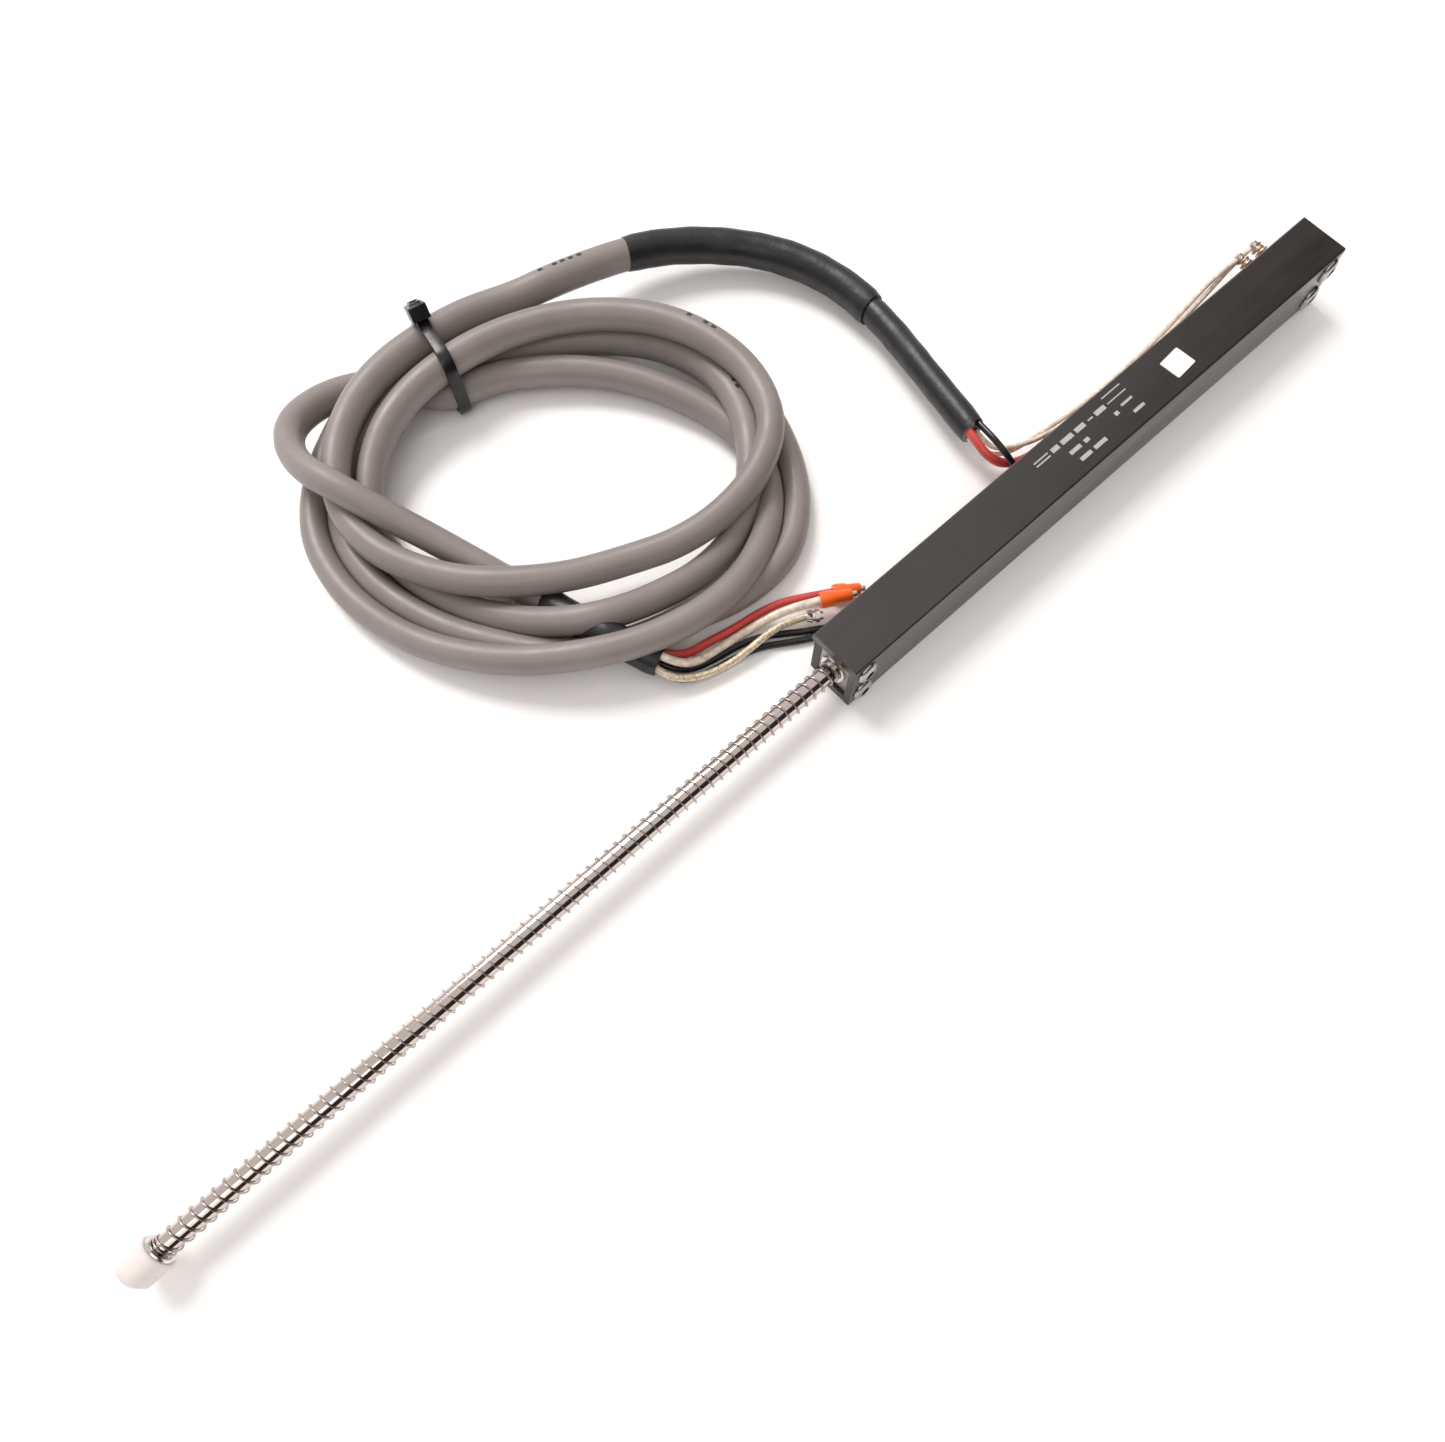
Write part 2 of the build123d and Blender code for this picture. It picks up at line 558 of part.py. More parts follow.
with BuildPart() as cable_tie:
    with BuildSketch(Plane.YZ.offset(TIE_STATION - TIE_WIDTH / 2)):
        with Locations((TIE_CORE_Y, TIE_CORE_Z)):
            RectangleRounded(TIE_CORE[0] + 2 * TIE_THICKNESS, TIE_CORE[1] + 2 * TIE_THICKNESS, 5.1)
            RectangleRounded(TIE_CORE[0], TIE_CORE[1], 4.0, mode=Mode.SUBTRACT)
    extrude(amount=TIE_WIDTH)
    with Locations((TIE_STATION, TIE_CORE_Y - 2.6, COIL_HEIGHT - TIE_HEAD[2] / 2 - 0.1)):
        Box(*TIE_HEAD)
save(cable_tie, "cable_tie")

# The free end of the cable: a short sleeve out of the coil's notch, and five conductors.
make_tube("end_sleeve", END_SLEEVE_ROUTE, SLEEVE_REAR_DIAMETER)


def mouth_of(end, inner, side_dir):
    """The plane of a sleeve's open end, facing out of the sleeve."""
    return Plane(origin=end, x_dir=side_dir, z_dir=Vector(*end) - Vector(*inner))


def leaving(mouth, side, rise, straight):
    """Two points of a wire that leaves a sleeve's mouth squarely."""
    near = mouth.from_local_coords((side, -rise, 0))
    far = mouth.from_local_coords((side, -rise, straight))
    return [tuple(near), tuple(far)]


def arriving(start, end, straight):
    """Two points of a wire that runs squarely into a fitting laid from start to end."""
    direction = (Vector(*end) - Vector(*start)).normalized()
    before = Vector(*start) - direction * straight
    return [tuple(before), start]


END_MOUTH = mouth_of(END_SLEEVE_ROUTE[-1], END_SLEEVE_ROUTE[-2], (0.917, 0.398, 0))
CRIMP_CLEAR = ((68.4, -14.1, 4.0), (61.6, -10.2, 3.9))
CRIMP_RED = ((63.8, -14.5, 1.9), (58.2, -10.7, 1.9))
LUG = ((72.8, -14.0, 2.6), (70.2, -12.0, 2.6))

make_tube("wire_red", [
    *leaving(END_MOUTH, -2.1, 0.0, 2.2), (99.2, -24.1, 2.0), (93.0, -23.3, 1.1), (82.0, -23.0, 1.1), (75.4, -21.9, 1.3),
    *arriving(*CRIMP_RED, 6.6),
], 1.9)
make_tube("wire_clear", [
    *leaving(END_MOUTH, -0.9, 1.8, 3.6), (100.0, -22.3, 3.6), (93.0, -21.3, 1.2), (83.5, -21.0, 1.3),
    *arriving(*CRIMP_CLEAR, 8.2),
], 1.9)
make_tube("wire_black_inner", [
    *leaving(END_MOUTH, -0.2, -1.5, 7.4), (93.0, -19.4, 0.8), (84.0, -19.2, 0.8), (76.5, -14.8, 0.8),
    (70.6, -9.8, 0.8),
], 1.4)
make_tube("wire_black_outer", [
    *leaving(END_MOUTH, 1.6, -1.0, 8.6), (93.0, -17.8, 0.8), (84.0, -17.2, 0.8), (77.5, -12.6, 0.8),
    (72.0, -8.6, 0.8),
], 1.4)
make_tube("wire_shield", [
    *leaving(END_MOUTH, 1.6, 1.2, 9.8), (93.0, -16.0, 1.2), (84.0, -16.2, 2.6),
    *arriving(*LUG, 5.0),
], 1.6)

CRIMP_DIAMETER = 3.4


def make_crimp(name, start, end):
    """An insulated sleeve terminal: a plastic collar and a bare metal barrel."""
    direction = Vector(*end) - Vector(*start)
    plane = Plane(origin=start, z_dir=direction)
    with BuildPart() as crimp:
        with BuildSketch(plane):
            Circle(CRIMP_DIAMETER / 2)
        with BuildSketch(plane.offset(direction.length * 0.45)):
            Circle(CRIMP_DIAMETER / 2 * 0.78)
        loft()
        with BuildSketch(plane.offset(direction.length * 0.45)):
            Circle(CRIMP_DIAMETER / 2 * 0.78)
        extrude(amount=direction.length * 0.4)
        with BuildSketch(plane.offset(direction.length * 0.85)):
            Circle(CRIMP_DIAMETER / 2 * 0.5)
        extrude(amount=direction.length * 0.15)
    save(crimp, name)


make_crimp("crimp_clear", *CRIMP_CLEAR)
make_crimp("crimp_red", *CRIMP_RED)

with BuildPart() as shield_lug:
    with BuildSketch(Plane(origin=LUG[0], z_dir=Vector(*LUG[1]) - Vector(*LUG[0]))):
        RectangleRounded(2.2, 1.7, 0.5)
    extrude(amount=3.3)
save(shield_lug, "shield_lug")

# The four leads from the sleeve's open end to the terminals, low along the cover.
LEAD_MOUTH = mouth_of(LEAD_ROUTE[0], LEAD_ROUTE[1], (0.979, -0.204, 0))

make_tube("lead_red", [
    *leaving(LEAD_MOUTH, 1.2, 0.6, 5.0), (15.2, -12.0, 4.4), (9.6, -9.5, 2.3), (0.0, -9.0, 1.3),
    (-18.0, -8.9, 1.1), (-42.0, -8.8, 1.1), (-63.7, -8.4, 3.4),
], 1.9)
make_tube("lead_black", [
    *leaving(LEAD_MOUTH, -0.9, 1.6, 7.4), (13.6, -9.0, 5.6), (9.0, -7.4, 1.4), (-2.0, -7.2, 0.8),
    (-22.0, -7.3, 0.8), (-48.0, -7.2, 0.8), (-65.6, -7.3, 0.9), (-69.2, -8.1, 3.0),
], 1.3)
make_tube("lead_clear_upper", [
    *leaving(LEAD_MOUTH, -1.3, -0.9, 5.0), (9.0, -12.2, 4.9), (0.0, -9.3, 4.1), (-16.0, -8.6, 3.7),
    (-36.0, -9.3, 3.9), (-54.0, -10.5, 4.6), (-65.2, -10.6, 6.2), (-69.3, -10.5, 7.8),
], 1.1)
make_tube("lead_clear_lower", [
    *leaving(LEAD_MOUTH, 0.9, -1.6, 5.0), (10.6, -12.6, 3.4), (0.0, -11.2, 3.2), (-16.0, -10.3, 3.1),
    (-36.0, -11.0, 3.2), (-52.0, -12.2, 4.4), (-63.5, -10.6, 7.9),
], 1.1)
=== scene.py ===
"""A spring-return linear position sensor with its tied cable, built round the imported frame."""

import math

import bpy
from bpy.props import FloatProperty, FloatVectorProperty, IntProperty, PointerProperty
from mathutils import Matrix, Vector


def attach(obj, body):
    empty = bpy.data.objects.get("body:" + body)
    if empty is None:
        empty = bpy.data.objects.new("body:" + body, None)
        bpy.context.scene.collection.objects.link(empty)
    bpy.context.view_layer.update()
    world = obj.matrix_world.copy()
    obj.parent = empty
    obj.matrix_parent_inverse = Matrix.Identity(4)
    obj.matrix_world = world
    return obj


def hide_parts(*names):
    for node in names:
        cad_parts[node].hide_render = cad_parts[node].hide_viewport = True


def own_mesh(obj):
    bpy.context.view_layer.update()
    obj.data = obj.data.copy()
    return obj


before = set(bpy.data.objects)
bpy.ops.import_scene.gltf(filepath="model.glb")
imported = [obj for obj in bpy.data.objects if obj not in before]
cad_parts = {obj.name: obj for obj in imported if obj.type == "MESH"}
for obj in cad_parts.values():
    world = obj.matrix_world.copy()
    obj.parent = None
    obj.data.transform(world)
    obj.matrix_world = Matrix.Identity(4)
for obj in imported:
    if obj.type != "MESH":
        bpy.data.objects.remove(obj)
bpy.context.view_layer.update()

bl_info = {
    "name": "Linear Position Sensor",
    "version": (1, 0, 0),
    "blender": (4, 5, 0),
    "location": "View3D > Sidebar > Sensor",
    "description": "Dresses the packed position sensor with its cable, spring, finishes and studio",
    "category": "Object",
}

MM = 0.001
BODY = "housing"
AXIS_Z = 6.35
HALF_SIDE = 6.35
HOUSING_TOP = 12.7
FLANGE_X = 79.8
WASHER_X = 248.3
COIL_CENTRE = (93.0, -74.0)
# The lowest that the centre of a turn may lie, and the control points for each step of direction.
LOWEST_CENTRE = 3.12
POINTS_A_STEP = 2
# How finely each cord's line is drawn between two control points.
CORD_STEPS = 6

# ------------------------------------------------------------------ camera, in metres
CAMERA_PLACE = (0.159603, 0.053171, 0.167615)
CAMERA_RIGHT = (-0.730127, 0.683156, 0.014543)
CAMERA_DOWN = (0.665527, 0.715788, -0.211476)
CAMERA_AHEAD = (-0.15488, -0.144726, -0.977275)
CAMERA_SENSOR = 36.0
CAMERA_LENS = 21.02
CAMERA_SHIFT = (-0.0111, 0.1523)
CAMERA_CLIP = (0.01, 20.0)

# ------------------------------------------------------------------ routes, in millimetres
# From the open end of the front sleeve to where the cable joins the coil.
LEAD_IN = [
    (14.5, -21.0, 6.2), (11.9, -33.0, 5.7), (9.2, -45.0, 5.2), (7.0, -57.0, 5.0), (6.4, -69.0, 5.0),
    (9.0, -81.0, 5.0), (15.0, -92.0, 5.2), (25.0, -101.5, 6.0), (37.0, -108.0, 7.4),
    (51.0, -111.6, 8.6), (63.0, -113.8, 9.4),
]
# The turns of the coil: how far the cable lies from the coil's middle, and how high its centre
# is, in twelve directions anticlockwise from FIRST_DIRECTION. The last turn ends after two.
TURNS = [
    ((48.3, 45.1, 46.5, 46.2, 36.0, 28.0, 24.9, 26.8, 37.7, 49.9, 47.1, 41.4),
     (8.6, 10.5, 11.1, 8.9, 9.2, 9.1, 8.1, 7.6, 9.1, 11.6, 12.7, 11.7)),
    ((37.4, 36.0, 39.5, 41.1, 36.6, 33.5, 36.0, 36.6, 41.5, 44.4, 45.6, 41.5),
     (10.8, 10.8, 8.5, 4.5, 3.1, 4.0, 8.4, 5.9, 4.0, 8.6, 6.8, 5.4)),
    ((38.9, 40.6, 45.6, 48.3, 43.0, 39.5, 40.6, 42.7, 54.0, 53.3, 50.9, 47.9),
     (4.4, 6.1, 5.1, 3.2, 3.2, 3.3, 3.1, 3.1, 3.1, 3.1, 3.1, 3.1)),
    ((45.3, 51.1, 52.0, 54.5, 49.2, 44.9, 44.2, 46.9, 48.3, 46.9, 37.5, 32.7),
     (3.6, 4.4, 3.9, 3.4, 3.8, 6.1, 8.6, 8.7, 5.5, 3.1, 4.0, 4.4)),
    ((31.9, 35.4), (4.5, 4.4)),
]
FIRST_DIRECTION = 240.0
DIRECTION_STEP = 30.0
# From the last turn, round a wide bight beside the tie, over the turns and out through them.
LEAD_OUT = [
    (96.4, -109.7, 4.2), (101.7, -121.2, 3.2), (110.4, -125.7, 4.6), (119.9, -125.2, 7.0),
    (127.6, -121.8, 9.1), (131.6, -115.3, 11.0), (132.8, -107.0, 13.2), (130.9, -97.9, 14.8),
    (127.1, -89.6, 11.6), (122.7, -81.1, 8.4), (118.8, -72.2, 5.7), (115.4, -63.6, 3.7),
    (112.8, -55.5, 3.3), (111.6, -47.6, 4.6), (109.4, -38.9, 6.4), (106.9, -33.3, 4.9),
    (104.2, -27.2, 3.7),
]
# The wires beyond the end sleeve, each from the sleeve to its end.
WIRES = {
    "wire_red": (1.9, [
        (102.6, -28.6, 3.8), (100.6, -26.4, 3.2), (97.4, -25.4, 1.6), (93.0, -25.0, 1.0),
        (86.0, -23.4, 1.0), (79.6, -22.6, 1.0), (74.0, -21.0, 1.1), (69.0, -18.0, 1.5),
        (63.8, -14.5, 1.9)]),
    "wire_clear": (1.9, [
        (104.0, -28.4, 5.4), (102.6, -25.2, 4.6), (99.2, -22.9, 2.4), (94.0, -22.2, 1.1),
        (88.0, -21.6, 1.1), (82.0, -20.6, 1.4), (77.0, -18.9, 2.6), (72.6, -16.5, 3.7),
        (68.4, -14.1, 4.0)]),
    "wire_shield": (1.6, [
        (106.1, -27.2, 4.4), (105.6, -23.6, 4.0), (102.4, -20.6, 2.8), (97.4, -18.4, 2.2),
        (92.0, -17.2, 2.2), (87.0, -16.8, 2.7), (82.0, -16.6, 3.1), (77.0, -15.9, 2.9),
        (72.8, -14.0, 2.6)]),
    "wire_black_inner": (1.5, [
        (103.9, -27.5, 2.2), (102.4, -24.6, 1.6), (99.2, -22.4, 0.8), (94.0, -20.9, 0.8),
        (88.0, -19.9, 0.8), (83.0, -18.2, 0.8), (78.6, -15.2, 0.8), (74.6, -12.3, 0.8),
        (70.6, -9.9, 0.8)]),
    "wire_black_outer": (1.5, [
        (105.3, -27.2, 2.6), (104.6, -23.8, 1.9), (101.4, -20.9, 0.8), (96.0, -19.2, 0.8),
        (90.0, -18.1, 0.8), (84.6, -16.3, 0.8), (80.2, -13.5, 0.8), (76.2, -10.9, 0.8),
        (72.0, -9.0, 0.8)]),
}
# The leads between the front sleeve and the terminals, each from the sleeve to its pin.
LEADS = {
    "lead_red": (1.9, [
        (15.7, -21.2, 6.8), (16.4, -17.8, 6.6), (16.3, -14.6, 5.6), (14.4, -11.6, 4.2),
        (10.2, -9.8, 2.8), (4.0, -9.1, 1.6), (-6.0, -9.0, 1.1), (-24.0, -8.8, 1.1),
        (-44.0, -8.9, 1.1), (-56.0, -8.7, 1.9), (-63.9, -8.4, 3.4)]),
    "lead_black": (1.35, [
        (13.4, -20.9, 7.8), (14.2, -17.0, 8.4), (14.7, -13.6, 8.4), (14.0, -10.0, 6.6),
        (12.2, -8.0, 3.4), (8.4, -7.4, 1.4), (0.0, -7.2, 0.8), (-22.0, -7.3, 0.8),
        (-46.0, -7.2, 0.8), (-60.0, -7.2, 0.8), (-66.0, -7.4, 1.2), (-69.2, -8.1, 3.0)]),
    "lead_clear_upper": (1.1, [
        (13.2, -20.6, 5.4), (13.9, -17.2, 5.3), (12.8, -14.2, 5.1), (8.6, -11.8, 4.8),
        (2.0, -9.8, 4.3), (-8.0, -8.6, 4.2), (-22.0, -8.3, 4.4), (-38.0, -8.6, 5.2),
        (-54.0, -9.8, 6.0), (-65.2, -10.9, 7.0), (-70.0, -10.5, 8.2)]),
    "lead_clear_lower": (1.1, [
        (15.2, -21.0, 4.7), (15.6, -17.6, 4.5), (13.6, -14.0, 3.9), (9.0, -12.2, 3.5),
        (1.0, -11.3, 3.2), (-10.0, -10.1, 3.1), (-24.0, -9.7, 3.3), (-38.0, -9.9, 4.6),
        (-50.0, -10.7, 6.2), (-58.0, -11.2, 7.6), (-64.2, -10.5, 8.4)]),
}
# The control points at the cable's two ends where it is thinner, under its sleeves.
THIN_AT_START = 4
THIN_AT_END = 2
THINNER = 0.86

# ------------------------------------------------------------------ sleeves and tie, in millimetres
# The sleeves' places, measured along the cable from its start, and the end sleeve's length.
FRONT_SLEEVE_END = 42.5
REAR_SLEEVE_START = 40.5
REAR_SLEEVE_END = 106.0
END_SLEEVE_LENGTH = 30.0
# The sleeves' uneven skin as (size, turn a point, start) waves, and how far their ends draw in.
SLEEVE_WAVES = ((0.014, 1.7, 0.0), (0.01, 0.61, 1.0))
SLEEVE_EDGE = 0.94
# The upright plane of the strap, and how far out from its middle the strap gathers strands.
TIE_MIDDLE = (91.5, -116.5, 0.0)
TIE_TURN = 12.0
TIE_GATHER = 14.0
STRAP_GAP = 0.1
STRAP_EDGE = 0.22
# The head stands on the outermost of the strands that reach within this depth of the top.
TOP_STRANDS = 5.0
HEAD_SIZE = (4.2, 4.8, 2.8)
HEAD_EDGE = 0.35
HEAD_TILT = 30.0
HEAD_OUT = 0.8
HEAD_LIFT = 0.6
HEAD_RIM = 0.8
HEAD_RISE = 0.5
HEAD_POCKET_WALL = 0.6
HEAD_POCKET_DEPTH = 1.2

# ------------------------------------------------------------------ terminals, in millimetres
# The crimps' starts and ends. A profile is (height, radius) pairs, and the heights in SKIRT_BODY,
# BARREL_BODY and BARREL_BORE are parts of the crimp's length.
CRIMPS = {
    "crimp_clear": ((68.4, -14.1, 4.0), (61.6, -10.2, 3.9)),
    "crimp_red": ((63.8, -14.5, 1.9), (58.2, -10.7, 1.9)),
}
SKIRT_MOUTH = [(-0.6, 1.25), (-0.55, 1.6), (0.2, 1.72)]
SKIRT_BODY = [(0.3, 1.66), (0.42, 1.36), (0.8, 1.3), (0.84, 1.18), (0.842, 0.75), (0.7, 0.7)]
BARREL_BODY = [(0.66, 0.68), (0.97, 0.68), (1.0, 0.6)]
BARREL_TIP = 0.01
BARREL_MOUTH = 0.42
BARREL_BORE = (0.9, 0.4)
LUG_START = (72.8, -14.0, 2.6)
LUG_END = (70.2, -12.0, 2.6)
LUG_PROFILE = [
    (-0.3, 0.9), (-0.25, 1.15), (0.9, 1.2), (1.1, 0.95), (1.5, 0.95),
    (1.7, 1.2), (2.6, 1.15), (2.7, 0.8), (3.4, 0.75), (3.5, 0.5),
]
LUG_SEGMENTS = 24
# Beyond its round mouth the lug is pressed wider and flatter.
LUG_MOUTH = 0.5
LUG_WIDER = 1.25
LUG_FLATTER = 0.78
# The two upper pins with bared strands: x, z, where the wrap starts along y, and its lean.
WRAPPED_PINS = ((-65.0, 8.5, -9.2, 0.0), (-70.5, 8.5, -9.9, 1.2))
WRAP_STRANDS = 3
WRAP_STEPS = 40
WRAP_TURNS = 1.8
WRAP_RADIUS = 1.02
WRAP_LENGTH = 2.0
WRAP_SHIFT = 0.15
WRAP_WAVE = 0.1
WRAP_WAVES = 9
# The last part of each strand stands away from the pin.
LOOSE_FROM = 0.85
LOOSE_LEAN = 1.6
STRAND_RADIUS = 0.19

# ------------------------------------------------------------------ spring and screws
WIRE_SIDES = 8
STEPS_A_TURN = 24
# The closed turns at each end of the spring, and their pitch in diameters of its wire.
DEAD_TURNS = 1.2
DEAD_PITCH = 1.12
SPRING_SAG = 0.1
SCREW_X = 76.4
SCREW_LEVELS = {"lower": 3.05, "upper": 9.65}
SCREW_PROFILE = [
    (-3.8, 1.2), (-0.05, 1.25), (0.0, 2.3), (0.08, 2.5), (0.3, 2.5),
    (0.55, 2.38), (0.8, 2.08), (1.0, 1.6), (1.08, 1.15),
]
# The hexagonal socket, and how far from the middle a face still belongs to it.
SOCKET_RADIUS = 0.88
SOCKET_HEIGHT = 1.6
SOCKET_MIDDLE = 1.1
SOCKET_REACH = 0.92

# ------------------------------------------------------------------ printed bars, in millimetres
PRINT_THICKNESS = 0.04
CABLE_BAR = (1.1, 0.8)
# The jacket's bars are this part of the print's thickness deep, and this many times as thick.
CABLE_BAR_SINK = 0.2
CABLE_BAR_BUILD = 2
# Plain printed bars on the housing's top: place along and across it, length and width.
HOUSING_BARS = [
    (14.6, -2.2, 4.4, 0.35), (14.6, -3.1, 4.4, 0.35), (10.4, -2.7, 2.2, 1.2), (6.6, -2.7, 3.6, 1.2),
    (2.4, -2.7, 3.0, 1.2), (-1.0, -2.7, 1.6, 0.4), (-4.2, -2.7, 3.2, 1.2), (-9.6, -2.7, 6.0, 0.3),
    (-9.6, -4.5, 6.0, 0.3), (7.2, 0.4, 3.4, 1.0), (3.6, 0.4, 1.5, 1.0), (-6.4, 0.3, 1.2, 1.0),
    (-10.4, -0.4, 3.6, 0.6), (6.6, 3.0, 3.4, 1.0), (2.0, 3.0, 3.8, 1.0), (-11.2, 2.6, 3.4, 0.8),
]
# Plain printed bars on the jacket: a place near each and how far it leans off the top.
CABLE_BARS = [
    (52.0, -112.0, 9.0, 10.0), (53.6, -112.3, 9.0, 10.0), (56.6, -112.9, 9.0, 12.0),
    (58.2, -113.2, 9.0, 12.0), (61.0, -113.7, 9.0, 14.0), (48.8, -62.0, 10.0, 12.0),
    (48.2, -64.2, 10.0, 12.0), (47.2, -68.0, 10.0, 12.0), (47.0, -70.2, 10.0, 12.0),
    (47.0, -74.0, 11.0, 14.0), (47.2, -76.2, 11.0, 14.0), (48.0, -80.0, 11.0, 14.0),
]

# ------------------------------------------------------------------ studio, in metres
FLOOR_SIZE = 6.0
# A dark wall that only reflections see, open on the side where y is below WALL_FROM_Y.
WALL_RADIUS = 2.4
WALL_HEIGHT = 3.2
WALL_FROM_Y = -0.6
SKY_COLOUR = (1.0, 0.955, 0.935, 1)
LIGHT_COLOUR = (1.0, 0.975, 0.955)
LIT_MIDDLE = (0.08, -0.05, 0.0)
# The lamps' places and diameters.
LAMPS = {
    "key": ((0.02, -0.75, 0.85), 0.55),
    "fill": ((0.75, 0.35, 0.8), 0.8),
}


def metres(point):
    return Vector(point) * MM


def coil_points(steps):
    """Control points of the turns, with steps points between each direction and the next."""
    reach = [value for row in TURNS for value in row[0]]
    height = [value for row in TURNS for value in row[1]]
    last = len(reach) - 1

    def eased(values, i, t):
        before, a, b, after = (values[min(max(k, 0), last)] for k in (i - 1, i, i + 1, i + 2))
        bend = 2 * a - 2 * b + (b - before) / 2 + (after - a) / 2
        lean = -3 * a + 3 * b - (b - before) - (after - a) / 2
        return ((bend * t + lean) * t + (b - before) / 2) * t + a

    points = []
    for i in range(last):
        for k in range(steps):
            t = k / steps
            angle = math.radians(FIRST_DIRECTION + DIRECTION_STEP * (i + t))
            r = eased(reach, i, t)
            points.append((
                COIL_CENTRE[0] + r * math.cos(angle),
                COIL_CENTRE[1] + r * math.sin(angle),
                max(eased(height, i, t), LOWEST_CENTRE),
            ))
    return points


# ------------------------------------------------------------------ small tools
def deselect():
    if bpy.context.object and bpy.context.object.mode != "OBJECT":
        bpy.ops.object.mode_set(mode="OBJECT")
    bpy.ops.object.select_all(action="DESELECT")


def only(obj):
    deselect()
    obj.select_set(True)
    bpy.context.view_layer.objects.active = obj


def settle(obj):
    """Put an object's place into its mesh and point its faces outwards."""
    only(obj)
    bpy.ops.object.transform_apply(location=True, rotation=True, scale=True)
    bpy.ops.object.mode_set(mode="EDIT")
    bpy.ops.mesh.select_all(action="SELECT")
    bpy.ops.mesh.remove_doubles(threshold=1e-6)
    bpy.ops.mesh.normals_make_consistent(inside=False)
    bpy.ops.object.mode_set(mode="OBJECT")
    return obj


def smooth(obj, angle=35.0):
    only(obj)
    bpy.ops.object.shade_smooth_by_angle(angle=math.radians(angle))


def use_modifier(obj, kind, **values):
    only(obj)
    modifier = obj.modifiers.new(kind.title(), kind)
    for name, value in values.items():
        setattr(modifier, name, value)
    bpy.ops.object.modifier_apply(modifier=modifier.name)


def dress(obj, material):
    obj.data.materials.clear()
    obj.data.materials.append(material)


def finished(obj, name, material, slot, body, *nodes):
    obj.name = name
    obj.data.name = name
    dress(obj, material)
    if nodes:
        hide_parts(*nodes)
    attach(obj, body)
    return obj


def join(objects):
    deselect()
    for obj in objects:
        obj.select_set(True)
    bpy.context.view_layer.objects.active = objects[0]
    bpy.ops.object.join()
    return bpy.context.object


def turned(profile, segments=40):
    """A closed solid of revolution up the Z axis from (height, radius) pairs, in millimetres."""
    deselect()
    bpy.ops.mesh.primitive_circle_add(
        vertices=segments, radius=profile[0][1] * MM, fill_type="NGON", location=(0, 0, profile[0][0] * MM))
    obj = bpy.context.object
    bpy.ops.object.mode_set(mode="EDIT")
    bpy.ops.mesh.select_all(action="SELECT")
    for (low, inner), (high, outer) in zip(profile, profile[1:]):
        bpy.ops.mesh.extrude_region_move(TRANSFORM_OT_translate={"value": (0, 0, (high - low) * MM)})
        bpy.ops.transform.resize(value=(outer / inner, outer / inner, 1))
    bpy.ops.object.mode_set(mode="OBJECT")
    return settle(obj)


def lay_along(obj, start, direction):
    """Turn an object built up the Z axis to point along a direction from a start point."""
    turn = Vector(direction).to_track_quat("Z", "Y").to_matrix().to_4x4()
    obj.matrix_world = Matrix.Translation(metres(start)) @ turn
    return settle(obj)


def nurbs(name, points, radius, radii=None, bevel=0):
    """A round cord on one open spline whose control points are given in millimetres."""
    curve = bpy.data.curves.new(name, "CURVE")
    curve.dimensions = "3D"
    curve.resolution_u = CORD_STEPS
    curve.bevel_depth = radius * MM
    curve.bevel_resolution = bevel
    curve.use_fill_caps = radius > 0
    spline = curve.splines.new("NURBS")
    spline.points.add(len(points) - 1)
    for i, point in enumerate(points):
        spline.points[i].co = (*metres(point), 1.0)
        spline.points[i].radius = radii[i] if radii else 1.0
    spline.order_u = 3
    spline.use_endpoint_u = True
    obj = bpy.data.objects.new(name, curve)
    bpy.context.scene.collection.objects.link(obj)
    return obj


def line_of(points):
    """The smooth line that a cord on these points follows, in metres."""
    obj = nurbs("line", points, 0)
    bpy.context.view_layer.update()
    mesh = bpy.data.meshes.new_from_object(obj.evaluated_get(bpy.context.evaluated_depsgraph_get()))
    line = [v.co.copy() for v in mesh.vertices]
    bpy.data.meshes.remove(mesh)
    bpy.data.objects.remove(obj)
    return line


def length_of(line):
    return sum((b - a).length for a, b in zip(line, line[1:]))


def stretch_of(line, start, end):
    """The points of a line that lie between two distances along it, in metres."""
    points = []
    along = 0.0
    for place, after in zip(line, line[1:] + line[-1:]):
        if start <= along <= end:
            points.append(place)
        along += (after - place).length
    return points


def tube_on(line, radii, name):
    """A closed tube mesh on a line's points, with its own radius in metres at each point."""
    curve = bpy.data.curves.new(name, "CURVE")
    curve.dimensions = "3D"
    curve.bevel_depth = 1.0
    curve.bevel_resolution = 7
    curve.use_fill_caps = True
    spline = curve.splines.new("POLY")
    spline.points.add(len(line) - 1)
    for point, place, radius in zip(spline.points, line, radii):
        point.co = (*place, 1.0)
        point.radius = radius
    obj = bpy.data.objects.new(name, curve)
    bpy.context.scene.collection.objects.link(obj)
    only(obj)
    bpy.ops.object.convert(target="MESH")
    obj = bpy.context.object
    settle(obj)
    smooth(obj, 50)
    return obj


